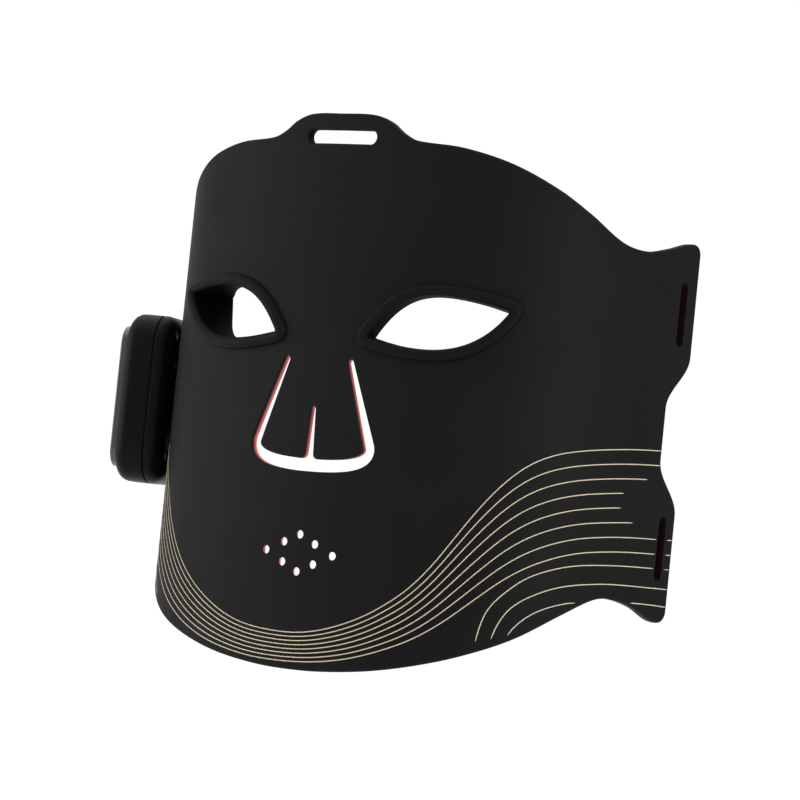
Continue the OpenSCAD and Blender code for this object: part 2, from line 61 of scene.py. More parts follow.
EYE_IN, EYE_OUT = (21.5, -6.2), (75.5, 7.3)
BEAD_W, BEAD_H, SLEEVE_T = 4.9, 2.5, 1.6
SKIRT_IN, SKIRT_OUT, SKIRT_START, FLANGE_W = 6.4, 16, 46, 2.6
SLIT_TOP, SLIT_TOP_W = (14.6, -16.6), 2.7
SLIT_LOW, SLIT_LOW_W = (25.9, -56.1), 4.7
SLIT_MID_TOP, SLIT_MID_W = -34.8, 2.3
BREATH_D, BREATH_CLEAR = 3.1, 3.1   # BREATH_CLEAR: how much wider they are in the liner
BREATH_HOLES = ((0, -82.4), (0, -96.4), (7.1, -85.6), (-7.1, -85.6), (15.3, -89.3), (-15.3, -89.3),
    (7.1, -93.2), (-7.1, -93.2))
# slots as (s, z, width along s, height)
TOP_SLOT = (0, 68.7, 32, 5.8)
SIDE_SLOTS = [(g * s, z, 3.8, 24.7) for s, z in ((150.5, 14.7), (151.1, -74)) for g in (-1, 1)]
BOX_S, BOX_Z, BOX_W, BOX_H, BOX_R = -127.5, -34, 44, 68, 13
FRONT_EDGE, BACK_EDGE, PLATE_INSET = 5, 6.4, 5.4
BOX_BACK, BOX_FRONT, SPLIT_Y, SEAL_T, PLATE_T = -2, -22, -9.2, 0.8, 2.8
BUTTON_Z, BUTTON_D, BUTTON_FLOOR, LIGHT_Z, LIGHT_R = 13, 11, -17, 0.5, 1.1
PORT_Y, HINGE_Y, HINGE_Z = -15.6, -11.9, -33
SCREW_X, SCREW_Z = 13.8, 25.8
CLAMP_Z, CLAMP_W, CLAMP_H, CLAMP_R = (-12, 12), 18, 36, 5
PAD_W, PADS = 22, ((23, 13), (0, 26), (-25, 10))    # each pad as (middle, height)
CASE_HEAD_R, CLAMP_HEAD_R = 2, 2.3
NONE, FULL = (0, 0, 0), (1, 1, 1)


# --- wrapping ---
def section(s):
    """Place and direction of the outer face at a distance s round the sheet."""
    left, x, y, a = abs(s), 0.0, 0.0, 0.0
    for i, (r, length) in enumerate(BEND):
        step = min(left, length) if i < len(BEND) - 1 else left
        b = a + step / r
        x += r * (sin(b) - sin(a))
        y += r * (cos(a) - cos(b))
        a = b
        left -= step
        if left <= 1e-9:
            break
    side = -1 if s < 0 else 1
    return side * x, y, side * a


def pt(s, z, n=0.0):
    x, y, a = section(s)
    return Vector((x + n * sin(a), y - SHEET_T - n * cos(a), z)) * MM


def way(s, along, out, up=0.0):
    """Direction made of parts along the sheet, out of it and up."""
    a = section(s)[2]
    return Vector((along * cos(a) + out * sin(a), along * sin(a) - out * cos(a), up)).normalized()


def slope(line, i):
    if i == 0:
        return 0.0
    j = min(i + 1, len(line) - 1)
    return (line[j][1] - line[i - 1][1]) / (line[j][0] - line[i - 1][0])


def height(line, s):
    """Smooth curve through the points of a line, level at its first point."""
    i = 0
    while i < len(line) - 2 and s > line[i + 1][0]:
        i += 1
    h = line[i + 1][0] - line[i][0]
    t = (s - line[i][0]) / h
    a, b = h * slope(line, i), h * slope(line, i + 1)
    d = line[i + 1][1] - line[i][1]
    return line[i][1] + a * t + (3 * d - 2 * a - b) * t * t + (a + b - 2 * d) * t ** 3


# --- outlines in the flat pattern ---
def side_edge(z):
    """Distance of the side edge from the centre line, with its shallow notch."""
    reach = NOTCH_FLAT / 2 + NOTCH_RAMP
    t = max(0.0, min(1.0, (reach - abs(z - NOTCH_Z)) / NOTCH_RAMP))
    return HALF_WIDTH - NOTCH_DEPTH * (1 - cos(pi * t)) / 2


def resample(loop, step):
    """The same closed outline with evenly spaced points."""
    pts = np.array(list(loop) + [loop[0]], float)
    run = np.concatenate([[0], np.cumsum(np.hypot(*np.diff(pts, axis=0).T))])
    count = max(8, round(run[-1] / step))
    at = np.linspace(0, run[-1], count, endpoint=False)
    return [(float(np.interp(a, run, pts[:, 0])), float(np.interp(a, run, pts[:, 1]))) for a in at]


def arc(x, y, r, start, sweep, steps):
    """Points on an arc, both ends included; angles in degrees."""
    return [(x + r * cos(a), y + r * sin(a)) for a in (radians(start + sweep * i / steps)
        for i in range(steps + 1))]


def edge_run(line, r, sign):
    """From the centre line out along an edge and round its corner to the side edge."""
    end = HALF_WIDTH - r
    run = [(end * i / 300, height(line, end * i / 300)) for i in range(301)]
    for a in (pi / 2 * i / 12 for i in range(1, 13)):
        s = end + r * sin(a)
        run.append((s, height(line, s) + sign * r * (1 - cos(a))))
    return run


def outline():
    """Outer edge of the sheet, anticlockwise."""
    low, top = edge_run(LOW_LINE, CORNER_LOW, 1), edge_run(TOP_LINE, CORNER_TOP, -1)[::-1]
    z, rise = low[-1][1], top[0][1] - low[-1][1]
    side = [(side_edge(z + rise * i / 160), z + rise * i / 160) for i in range(1, 160)]
    half = low + side + top
    return resample(half + [(-s, z) for s, z in reversed(half[1:-1])], 1.6)


def bezier(p, t):
    q = 1 - t
    return tuple(q ** 3 * a + 3 * t * q * q * b + 3 * t * t * q * c + t ** 3 * d
        for a, b, c, d in zip(*p))


def bezier_way(p, t):
    q = 1 - t
    d = Vector([q * q * (b - a) + 2 * t * q * (c - b) + t * t * (e - c) for a, b, c, e in zip(*p)])
    return d.normalized()


UPPER_LID = (EYE_IN, (34.2, 13.2), (46.8, 12.6), EYE_OUT)
LOWER_LID = (EYE_OUT, (63, -12), (44, -11.4), EYE_IN)


def eye_ring(steps=40, fan=14):
    """Clockwise (s, z, outward s, outward z) round an eye, fanned at its two corners."""
    ring = []
    for lid, nxt in ((UPPER_LID, LOWER_LID), (LOWER_LID, UPPER_LID)):
        for i in range(steps + 1):
            (s, z), d = bezier(lid, i / steps), bezier_way(lid, i / steps)
            ring.append((s, z, -d.y, d.x))
        a, b = bezier_way(lid, 1), bezier_way(nxt, 0)
        start, end = atan2(a.x, -a.y), atan2(b.x, -b.y)
        if end > start:
            end -= 2 * pi
        for i in range(1, fan):
            g = start + (end - start) * i / fan
            ring.append((lid[3][0], lid[3][1], cos(g), sin(g)))
    return ring


def eye_loop(side):
    l = SLEEVE_T + 0.1
    loop = [(side * (s + l * out_s), z + l * out_z) for s, z, out_s, out_z in eye_ring()]
    return loop if side > 0 else loop[::-1]


def circle(s, z, d, count=28):
    """Clockwise circle."""
    return arc(s, z, d / 2, 0, -360, count)[:-1]


def slot_loop(s, z, wide, high, steps=14):
    """Clockwise slot with round ends, wide along s and high along z."""
    r = min(wide, high) / 2
    dx, dz = wide / 2 - r, high / 2 - r
    loop = []
    for cx, cz, start in ((1, 1, 90), (1, -1, 0), (-1, -1, -90), (-1, 1, 180)):
        loop += arc(s + cx * dx, z + cz * dz, r, start, -90, steps)
    return resample(loop, 0.9)


def soften(path):
    """Cuts the corners of an open path, with its ends kept."""
    new = [path[0]]
    for (ax, az), (bx, bz) in zip(path, path[1:]):
        new += [(ax * 0.75 + bx * 0.25, az * 0.75 + bz * 0.25),
            (ax * 0.25 + bx * 0.75, az * 0.25 + bz * 0.75)]
    return new + [path[-1]]


def nose_loop():
    """Clockwise outline of the slit that frees the nose flaps."""
    low_s, low_z = SLIT_LOW
    curve = ((low_s, low_z + 8.6), (low_s + 1.6, low_z + 2.1), (low_s - 8, low_z), (0, low_z))
    r, top_r, mid_r = SLIT_LOW_W / 2, SLIT_TOP_W / 2, SLIT_MID_W / 2
    outer, inner = [], []
    for i in range(25):
        (x, z), d = bezier(curve, i / 24), bezier_way(curve, i / 24)
        outer.append((x - d.y * r, z + d.x * r))
        inner.append((x + d.y * r, z - d.x * r))
    leg = Vector(curve[0]) - Vector(SLIT_TOP)
    lean = degrees(atan2(leg.y, leg.x))
    turn = degrees(asin((r - top_r) / leg.length))
    cap = arc(*SLIT_TOP, top_r, lean - 90 - turn, 2 * turn - 180, 12)
    # up the middle slit, over its round top, with a fillet where it leaves the long slit
    fillet = 2.0
    mid = arc(0, SLIT_MID_TOP, mid_r, 90, -90, 6)
    mid += arc(2 * fillet, low_z + r + fillet, fillet, 180, 90, 6)
    shelf = [p for p in reversed(inner) if p[0] > 5]
    half = mid + shelf + cap + outer
    # the curve meets the leg with a short run on both sides of the slit
    half = [half[0]] + soften(half[1:-1]) + [half[-1]]
    return resample(half + [(-s, z) for s, z in reversed(half[1:-1])], 0.8)


def box_holes(screw_d, gap_w, gap_h, count):
    """Holes for the control box's two clamp screws and its ribbon."""
    holes = [circle(BOX_S, BOX_Z + z, screw_d, count) for z in CLAMP_Z]
    return holes + [slot_loop(BOX_S, BOX_Z, gap_w, gap_h)]


def sheet_holes(breath_d):
    """Outlines cut through a layer; the breathing holes come first."""
    holes = [circle(s, z, breath_d, 32) for s, z in BREATH_HOLES]
    holes += [eye_loop(1), eye_loop(-1), nose_loop(), slot_loop(*TOP_SLOT)]
    return holes + [slot_loop(*slot) for slot in SIDE_SLOTS] + box_holes(3.2, 3.4, 9.4, 20)


# --- mesh building ---
def left_of(loop):
    """Unit directions to the left of a closed loop at each point."""
    p = np.array(loop, float)
    t = np.roll(p, -1, axis=0) - np.roll(p, 1, axis=0)
    t /= np.maximum(np.hypot(t[:, 0], t[:, 1]), 1e-9)[:, None]
    return np.stack([-t[:, 1], t[:, 0]], axis=1)


def moved_in(loop, d):
    """The loop moved to its left by d, into the material."""
    return np.array(loop, float) + d * left_of(loop)


def inside(points, loop):
    """Whether each point lies inside a closed loop."""
    x, y = points[:, 0:1], points[:, 1:2]
    a = np.array(loop, float)
    b = np.roll(a, -1, axis=0)
    hit = (a[:, 1] > y) != (b[:, 1] > y)
    dy = np.where(b[:, 1] == a[:, 1], 1e-12, b[:, 1] - a[:, 1])
    cross = a[:, 0] + (y - a[:, 1]) * (b[:, 0] - a[:, 0]) / dy
    return (hit & (x < cross)).sum(axis=1) % 2 == 1


def fill(loops, step):
    """Triangles over the first loop less the others, with a grid of inner points.

    Returns the points, the first ones being the loops' own, and the triangles."""
    def within(points):
        keep = inside(points, loops[0])
        for hole in loops[1:]:
            keep &= ~inside(points, hole)
        return keep

    edge = np.concatenate([np.array(l, float) for l in loops])
    lo, hi = edge.min(axis=0), edge.max(axis=0)
    grid = np.array([(x, y) for j, y in enumerate(np.arange(lo[1] + step / 2, hi[1], step * 0.87))
        for x in np.arange(lo[0] + (step / 2 if j % 2 else step), hi[0], step)])
    grid = grid[within(grid)]
    near = np.full(len(grid), np.inf)
    for part in np.array_split(edge, max(1, len(edge) // 200)):
        d = np.hypot(grid[:, 0:1] - part[:, 0], grid[:, 1:2] - part[:, 1])
        near = np.minimum(near, d.min(axis=1))
    grid = grid[near > step * 0.55]
    edges, start = [], 0
    for loop in loops:
        count = len(loop)
        edges += [(start + i, start + (i + 1) % count) for i in range(count)]
        start += count
    flat = np.concatenate([edge, grid])
    points = [Vector(p) for p in flat]
    verts, _, faces, origin, _, _ = geometry.delaunay_2d_cdt(points, edges, [], 1, 1e-7)
    if len(verts) != len(points):
        raise ValueError("two outlines cross or touch")
    tris = np.array([[origin[i][0] for i in f] for f in faces])
    return flat, tris[within(flat[tris].mean(axis=1))]


def link(name, data):
    """A new object in the scene."""
    obj = bpy.data.objects.new(name, data)
    bpy.context.collection.objects.link(obj)
    return obj


def settle(obj, node, body="mask"):
    """The piece rides on a body and stands for a CAD node."""
    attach(obj, body)
    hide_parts(node)


class Mesh:
    """Collects points, their normals, faces and how near an edge each point is."""

    def __init__(self):
        self.co, self.no, self.edge, self.faces = [], [], [], []

    def add(self, co, no, edge=0.0):
        self.co.append(co)
        self.no.append(no)
        self.edge.append(edge)
        return len(self.co) - 1

    def point(self, s, z, to_s, to_z, step, top=0.0):
        """A point off (s, z) by a profile step, which is the distance in the flat direction
        (to_s, to_z), n, the normal's share in that direction and outwards, and the wear."""
        d, n, along, out, wear = step
        return self.add(pt(s + to_s * d, z + to_z * d, top + n),
            way(s, to_s * along, out, to_z * along), wear)

    def skin(self, rows, around=False, flip=False):
        """Quads between rows of points. A row closes on itself, and so may the rows."""
        for a, b in zip(rows, rows[1:] + rows[:1] if around else rows[1:]):
            for i in range(len(a)):
                j = (i + 1) % len(a)
                quad = (a[i], b[i], b[j], a[j])
                self.faces.append(quad[::-1] if flip else quad)

    def build(self, name, material):
        mesh = bpy.data.meshes.new(name)
        mesh.from_pydata(self.co, [], self.faces)
        mesh.validate()
        layer = mesh.attributes.new("edge", "FLOAT", "POINT")
        layer.data.foreach_set("value", self.edge)
        for p in mesh.polygons:
            p.use_smooth = True
        mesh.normals_split_custom_set_from_vertices(self.no)
        return paint(link(name, mesh), material)


def rounded_rim(r, depth, back_r, margin, steps=4):
    """Profile of a cut edge: (into the material, n, direction in, direction out, wear)."""
    rim = [(r + margin, 0.0, 0.0, 1.0, 0.0)]
    for i in range(steps + 1):
        a = pi / 2 * (1 - i / steps)
        rim.append((r - r * cos(a), -r + r * sin(a), -cos(a), sin(a), 1.0))
    rim.append((0.0, -depth + back_r, -1.0, 0.0, 0.3))
    for i in range(1, 3):
        a = pi / 4 * i
        rim.append((back_r * (1 - cos(a)), -depth + back_r * (1 - sin(a)), -cos(a), -sin(a), 0.6))
    rim.append((back_r + margin, -depth, 0.0, -1.0, 0.0))
    return rim


def wrap_sheet(mesh, loops, rims, top, step):
    """A slab between its outlines. Each loop's rim starts on the front face and ends on the
    back face; top is the n of the front face."""
    ends = []
    for loop, rim in zip(loops, rims):
        left = left_of(loop)
        rings = [[mesh.point(*p, *way_in, step, top) for p, way_in in zip(loop, left)]
            for step in rim]
        mesh.skin(rings)
        ends.append([(rings[k], rim[k][0], rim[k][1]) for k in (0, -1)])
    for face, out in ((0, 1), (1, -1)):
        flat, tris = fill([moved_in(l, e[face][1]) for l, e in zip(loops, ends)], step)
        index = [i for e in ends for i in e[face][0]]
        n = top + ends[0][face][2]
        for s, z in flat[len(index):]:
            index.append(mesh.add(pt(s, z, n), way(s, 0, out)))
        for tri in tris:
            mesh.faces.append([index[i] for i in tri[::out]])


# --- materials ---
class Look:
    """A procedural material: its node tree, its shader and its object coordinates."""

    def __init__(self, name):
        self.material = bpy.data.materials.new(name)
        self.material.use_nodes = True
        self.tree = self.material.node_tree
        self.shader = self.tree.nodes["Principled BSDF"]
        self.co = self.node("TexCoord").outputs["Object"]

    def link(self, source, target):
        self.tree.links.new(source, target)

    def node(self, kind, vector=None, **values):
        n = self.tree.nodes.new("ShaderNode" + kind)
        for key, value in values.items():
            if hasattr(n, key):
                setattr(n, key, value)
            else:
                n.inputs[key.replace("_", " ")].default_value = value
        if vector:
            self.link(vector, n.inputs["Vector"])
        return n

    def noise(self, scale, detail=4.0, rough=0.5):
        return self.node("TexNoise", self.co, Scale=scale, Detail=detail,
            Roughness=rough).outputs["Fac"]

    def edge(self):
        """How near a rounded edge a point is, from the mesh's own edge attribute."""
        return self.node("Attribute", attribute_name="edge").outputs["Fac"]

    def ramp(self, source, *stops):
        r = self.node("ValToRGB")
        el = r.color_ramp.elements
        while len(el) < len(stops):
            el.new(0.5)
        for e, (at, colour) in zip(el, stops):
            e.position = at
            e.color = (*colour, 1)
        self.link(source, r.inputs[0])
        return r.outputs[0]

    def spread(self, source, low, high):
        r = self.node("MapRange", To_Min=low, To_Max=high)
        self.link(source, r.inputs[0])
        return r.outputs[0]

    def mix(self, factor, a, b):
        """Colour a turning into colour b, which is a socket or plain numbers."""
        m = self.node("Mix", data_type="RGBA")
        self.link(factor, m.inputs[0])
        self.link(a, m.inputs[6])
        m.inputs[7].default_value = (*b, 1)
        return m.outputs[2]

    def done(self, colour, rough, bumps, **constants):
        """Links the colour, the roughness (source, low, high) and a chain of bumps, each a
        height, its distance in metres and its strength; sets the constants on the shader."""
        self.link(colour, self.shader.inputs["Base Color"])
        self.link(self.spread(*rough), self.shader.inputs["Roughness"])
        for key, value in constants.items():
            self.shader.inputs[key.replace("_", " ")].default_value = value
        last = None
        for source, distance, strength in bumps:
            b = self.node("Bump", Distance=distance, Strength=strength)
            self.link(source, b.inputs["Height"])
            if last:
                self.link(last, b.inputs["Normal"])
            last = b.outputs["Normal"]
        if last:
            self.link(last, self.shader.inputs["Normal"])
        return self.material


def silicone(name, dark, light, worn, rough, specular=0.3, dust=0.0, grain=0.00004, painted_shade=None):
    """Soft moulded silicone: a matte skin with fine grain, faint flow and lint. Where the
    edge attribute is negative the colour runs to painted_shade, a painted shade colour."""
    m = Look(name)
    colour = m.ramp(m.noise(14, 3), (0.3, dark), (0.7, light))
    colour = m.mix(m.spread(m.edge(), 0.0, 0.55), colour, worn)
    # painted shade: where the edge attribute is negative the colour runs to the darker
    # painted_shade colour
    if painted_shade:
        shade_mask = m.node("MapRange", From_Max=-1.0)
        m.link(m.edge(), shade_mask.inputs[0])
        colour = m.mix(shade_mask.outputs[0], colour, painted_shade)
    lint = m.ramp(m.noise(2600, 1), (0.76, NONE), (0.8, FULL))
    colour = m.mix(m.spread(lint, 0.0, dust), colour, [min(1, c * 3) for c in worn])
    return m.done(colour, (m.noise(60, 5), *rough), ((m.noise(900, 3, 0.6), grain, 0.6),
        (m.noise(90, 4), 0.00012, 0.35)), Specular_IOR_Level=specular)


def plastic(name, dark, light, worn, rough, specular=0.4, grain=0.00003):
    """Moulded plastic: spark-eroded texture, slightly polished where hands touch it."""
    m = Look(name)
    spark = m.node("TexVoronoi", m.co, Scale=1500).outputs["Distance"]
    colour = m.ramp(m.noise(30), (0.35, dark), (0.65, light))
    rub = m.ramp(m.node("NewGeometry").outputs["Pointiness"], (0.52, NONE), (0.6, FULL))
    patchy = m.node("Math", operation="MULTIPLY")
    m.link(rub, patchy.inputs[0])
    m.link(m.noise(240), patchy.inputs[1])
    return m.done(m.mix(patchy.outputs[0], colour, worn), (m.noise(45, 5), *rough),
        ((spark, grain, 0.5), (m.noise(120, 3), 0.00006, 0.2)), Specular_IOR_Level=specular)


def metal(name, colour, rough):
    """Turned or stamped metal with brushed lines and light tarnish."""
    m = Look(name)
    tarnish = m.ramp(m.noise(400), (0.3, [c * 0.6 for c in colour]), (0.6, colour))
    brushed = m.node("Mapping", m.co, Scale=(1, 1, 18)).outputs[0]
    lines = m.node("TexNoise", brushed, Scale=700, Detail=3, Roughness=0.5).outputs["Fac"]
    return m.done(tarnish, (lines, *rough), ((lines, 0.00002, 0.4),), Metallic=1.0)


def flexible_circuit():
    """Amber polyimide film with fine copper tracks under it."""
    m = Look("flexible_circuit")
    wave = m.node("TexWave", m.co, bands_direction="Z", Scale=130, Distortion=1.5)
    tracks = m.ramp(wave.outputs["Fac"], (0.45, NONE), (0.5, FULL))
    amber = m.ramp(m.noise(60, 3), (0.3, (0.32, 0.12, 0.02)), (0.7, (0.42, 0.18, 0.03)))
    return m.done(m.mix(tracks, amber, (0.55, 0.26, 0.08)), (m.noise(300, 3), 0.25, 0.4),
        ((tracks, 0.00003, 0.5),))


def light_package(name):
    """White moulded package with a yellow phosphor window."""
    m = Look(name)
    colour = m.ramp(m.noise(500, 3), (0.3, (0.75, 0.72, 0.60)), (0.7, (0.85, 0.78, 0.45)))
    return m.done(colour, (m.noise(900, 3), 0.3, 0.45), ((m.noise(1500, 2), 0.00003, 0.4),))


def laminate():
    """Green solder mask over copper tracks, with tinned pads."""
    m = Look("board_laminate")
    cells = m.node("TexVoronoi", m.co, distance="MANHATTAN", Scale=420).outputs["Distance"]
    tracks = m.ramp(cells, (0.42, (0.005, 0.05, 0.02)), (0.5, (0.01, 0.12, 0.045)))
    pads = m.ramp(m.noise(800, 1), (0.7, NONE), (0.72, FULL))
    return m.done(m.mix(pads, tracks, (0.55, 0.55, 0.5)), (m.noise(200, 3), 0.25, 0.4),
        ((cells, 0.00005, 0.5),))


def thread_material():
    """Printed gold thread: two strands laid in a rope, so the height runs slantwise; the tone
    follows it, with painted shade in the grooves between the strands.
    """
    m = Look("gold_thread")
    wave = m.node("TexWave", m.node("UVMap", uv_map="thread").outputs[0],
        bands_direction="DIAGONAL", Scale=1.0, Distortion=0.6).outputs["Fac"]
    # painted shade: the gold darkens where the height is low, in the grooves between the strands
    gold = m.ramp(wave, (0.15, (0.13, 0.09, 0.05)), (0.55, (0.42, 0.35, 0.24)),
        (0.9, (0.62, 0.55, 0.42)))
    return m.done(gold, (m.noise(800, 3), 0.35, 0.6), ((wave, 0.0001, 0.8),), Metallic=0.35)


def window_silicone():
    """Clear silicone over a light: milky, with the yellow phosphor showing in the middle."""
    m = Look("light_window")
    colour = m.ramp(m.edge(), (0.0, (0.36, 0.06, 0.05)), (0.55, (0.62, 0.30, 0.16)),
        (0.8, (0.85, 0.74, 0.38)), (1.0, (0.90, 0.84, 0.60)))
    return m.done(colour, (m.noise(500, 3), 0.12, 0.25), ((m.noise(1200, 2), 0.00002, 0.3),),
        Subsurface_Weight=0.2, Subsurface_Radius=(0.003, 0.001, 0.0006), Coat_Weight=0.5)


def paint(obj, material):
    obj.data.materials.clear()
    obj.data.materials.append(material)
    return obj


# --- the two silicone layers ---
def build_shell(material):
    """Black outer skin, whose rim folds round the liner at the outer edge."""
    mesh = Mesh()
    loops = [outline()] + sheet_holes(BREATH_D)
    lip = rounded_rim(0.6, SHEET_T, 0.5, 0.5)[:-1]
    lip += [(0.8, -SHEET_T, 0, -1, 0.3), (LIP_W - 0.2, -SHEET_T, 0, -1, 0.2),
        (LIP_W, -SHEET_T + 0.2, 1, -0.2, 0.2), (LIP_W, -OUTER_T - 0.2, 1, 0, 0),
        (LIP_W + 0.3, -OUTER_T, 0, -1, 0)]
    # the breathing holes are cut back behind a thin edge
    thin = [(0.5, 0, 0, 1, 0), (0.15, 0, 0, 1, 0.3), (0.04, -0.04, -0.7, 0.7, 0.3),
        (0, -0.15, -1, 0, 0), (0, -0.28, -1, 0, 0), (0.12, -0.36, -0.8, -0.7, 0),
        (1.1, -OUTER_T + 0.04, -0.6, -0.8, 0), (1.5, -OUTER_T, 0, -1, 0)]
    breath = len(BREATH_HOLES)
    rims = [lip] + [thin] * breath
    rims += [rounded_rim(0.45, OUTER_T, 0.15, 0.35)] * (len(loops) - 1 - breath)
    wrap_sheet(mesh, loops, rims, 0.0, 3.0)
    settle(mesh.build("mask_outer_skin", material), "outer_shell")


def build_liner(material):
    """Red silicone liner that carries the lights and rests on the skin."""
    mesh = Mesh()
    gap = 0.05
    edge = [tuple(p) for p in moved_in(outline(), LIP_W + gap)]
    loops = [edge] + sheet_holes(BREATH_D + BREATH_CLEAR)
    depth = SHEET_T - OUTER_T - FIT
    # painted shade: the walls of the openings grow darker towards the back
    hole_rim = [(d, n, along, out, 1 - 2.2 * (1 + n / depth) if along else 0.0)
        for d, n, along, out, _ in rounded_rim(0.12, depth, 0.45, 0.3, 2)]
    breath = len(BREATH_HOLES)
    rims = [rounded_rim(0.12, depth, 0.25, 0.3, 2)]
    rims += [rounded_rim(0.12, depth, 0.2, 0.1, 2)] * breath
    rims += [hole_rim] * (len(loops) - 1 - breath)
    wrap_sheet(mesh, loops, rims, -OUTER_T - FIT, 3.4)
    settle(mesh.build("mask_inner_liner", material), "inner_liner")


def build_slot_rims(name, slots, high, material):
    """Collars that line the strap slots and stand up a little on the skin side. Their near-black
    colour is painted shade inside the slots.
    """
    mesh = Mesh()
    inner, outer, hidden, top, foot = -0.25, 1.5, -0.06, -1.0, -SHEET_T - FIT
    mid, half = (inner + outer) / 2, (outer - inner) / 2
    profile = [(inner, top - 0.15, -1, 0.2, 0.3), (inner, foot, -1, 0, 0.1)]
    for i in range(7):
        a = pi * i / 6
        profile.append((mid - half * cos(a), foot - high + half * (1 - sin(a)), -cos(a), -sin(a),
            1.0))
    profile += [(outer, foot - 0.1, 1, 0, 0.2), (outer - 0.15, foot, 0.5, 1, 0),
        (0.3, foot, 0, 1, 0), (hidden, foot + 0.3, 1, 0.3, 0), (hidden, top - 0.1, 1, 0.3, 0),
        (-0.15, top, 0, 1, 0.3)]
    for slot in slots:
        loop = slot_loop(*slot)
        mesh.skin([[mesh.point(*p, *way_in, step) for step in profile]
            for p, way_in in zip(loop, left_of(loop))], around=True, flip=True)
    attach(mesh.build(name, material), "mask")


def light_places():
    """Centres of the light packages, as in the CAD model."""
    places = [(s, z) for z in (28, 41, 54) for s in range(-78, 79, 13) if abs(s) < 100 - z * 0.75]
    places += [(g * 90, z) for g in (-1, 1) for z in (31, 40)]
    cheek = [(s, z) for z in (-26, -39, -52, -65) for s in range(42, 91, 12)]
    cheek += [(84, -8), (90, 2)]
    places += [(g * s, z) for g in (1, -1) for s, z in cheek]
    places += [(s, -109.5) for s in range(-44, 45, 11)]
    places += [(s, -119.5) for s in range(-22, 23, 11)]
    return places + [(0, -11), (0, -19), (0, -27)]


def build_windows(material):
    """Low domes with a moulded rim over every light, on the skin side."""
    mesh = Mesh()
    profile = ((3.3, 0.05, 0.0), (3.05, -0.12, 0.0), (2.7, -0.22, 0.0), (2.4, -0.10, 0.3),
        (2.1, -0.12, 0.5), (1.5, -0.30, 0.8), (0.8, -0.42, 0.95))
    last, count = len(profile) - 1, 24
    for s, z in light_places():
        rings = []
        for k, (r, n, glow) in enumerate(profile):
            (ra, na, _), (rb, nb, _) = profile[max(0, k - 1)], profile[min(k + 1, last)]
            rings.append([mesh.point(s, z, x, y, (r, n, na - nb, rb - ra, glow), -SHEET_T)
                for x, y in arc(0, 0, 1, 0, 360, count)[:-1]])
        mesh.skin(rings)
        tip = mesh.add(pt(s, z, -SHEET_T - 0.45), way(s, 0, -1), 1.0)
        foot = mesh.add(pt(s, z, -SHEET_T + 0.3), way(s, 0, 1), 0.0)
        for i in range(count):
            j = (i + 1) % count
            mesh.faces += [(rings[-1][j], rings[-1][i], tip), (rings[0][i], rings[0][j], foot)]
    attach(mesh.build("light_windows", material), "mask")


# --- eye shields ---
def skirt(s):
    """Reach of the sleeve behind the outer face."""
    t = max(0.0, min(1.0, (s - SKIRT_START) / (EYE_OUT[0] - SKIRT_START)))
    return SKIRT_IN + (SKIRT_OUT - SKIRT_IN) * (t * t * (3 - 2 * t) + t) / 2


def shield_profile(s):
    """(distance out from the lid, n, direction out from the lid, direction out, wear)."""
    soft, w, b, k = 0.15, SLEEVE_T, BEAD_W / 2, -skirt(s)
    front = []
    for i in range(13):
        a = pi * i / 12
        front.append((b + (b - soft / 2) * cos(a) + soft / 2, FIT + BEAD_H * sin(a), cos(a) / b,
            sin(a) / BEAD_H, 0.0))
    lip = []
    for i in range(7):
        a = pi * i / 6
        lip.append((soft + (w - soft) * (1 - cos(a)) / 2, k + 0.7 - 0.7 * sin(a), -cos(a), -sin(a),
            0.5))
    f, flange = -SHEET_T - FIT, w + FLANGE_W
    back = [(w, f - 1.0, 1, -0.2, 0.0), (w + 0.35, f - 0.75, 0.5, -0.8, 0.1),
        (flange - 0.5, f - 0.7, 0, -1, 0.3), (flange - 0.1, f - 0.45, 0.8, -0.6, 0.5),
        (flange, f - 0.2, 1, 0, 0.5), (flange - 0.2, f, 0, 1, 0.2), (w + 0.02, f, 0.3, 1, 0),
        (w, f + 0.2, 1, 0, 0), (w, -0.1, 1, 0, 0), (w + 0.1, FIT, 0, -1, 0),
        (BEAD_W - 0.3, FIT, 0, -1, 0)]
    return front + lip + back


SHADED_SLEEVE_FACES = (11, 12, 13, 14)       # the inner wall and its rim, round the profile, painted darker as shade


def build_eye_shield(side, material, sleeve):
    """Bead, sleeve and flange round one eye, as one ring of profiles."""
    mesh = Mesh()
    rows = [[mesh.point(side * s, z, side * to_s, to_z, step) for step in shield_profile(s)]
        for s, z, to_s, to_z in eye_ring()]
    mesh.skin(rows, around=True, flip=side > 0)
    name = "eye_shield_" + ("left" if side > 0 else "right")
    obj = mesh.build(name + "_soft", material)
    # painted shade: the inner wall and its rim take a darker copy of the silicone
    obj.data.materials.append(sleeve)
    for i, p in enumerate(obj.data.polygons):
        p.material_index = 1 if i % len(rows[0]) in SHADED_SLEEVE_FACES else 0
    settle(obj, name)


# --- printed lines ---
LINE_W, LINE_H, LINE_GAP, LINE_STEP = 0.42, 0.1, 4.5, 0.7
RIGHT_FIRST = ((0, -119.5), (18, -116), (32, -110), (40, -105), (46, -100), (52, -95), (59, -85),
    (65, -75.5), (71.5, -66), (78.5, -57), (85, -50.5), (94, -45), (106, -41.5), (130, -38.3),
    (147, -37.3))
RIGHT_LAST = ((0, -130.2), (23, -127.5), (39, -122.4), (54, -115.3), (68, -104.5), (75, -98),
    (82, -92), (89, -87), (104, -80.6), (112, -78.7), (130, -76.8), (157.6, -76.1))
LEFT_FIRST = ((0, -119.5), (20, -118.6), (32, -115.8), (43, -111), (55, -104.2), (64, -97),
    (71, -89.5), (82, -74), (90, -63), (98, -54.5), (110, -47), (125, -41), (147, -37.3))
LEFT_LAST = ((0, -130.2), (13, -130.3), (28, -128.8), (46, -124.9), (63, -118.3), (72, -113),
    (82, -105.8), (95, -95), (105, -88), (120, -81), (140, -77.4), (157.6, -76.1))
LINE_ENDS = (147, 147, 140.6, 129.2, 128.6, 135.2, 157.2, 157.2)
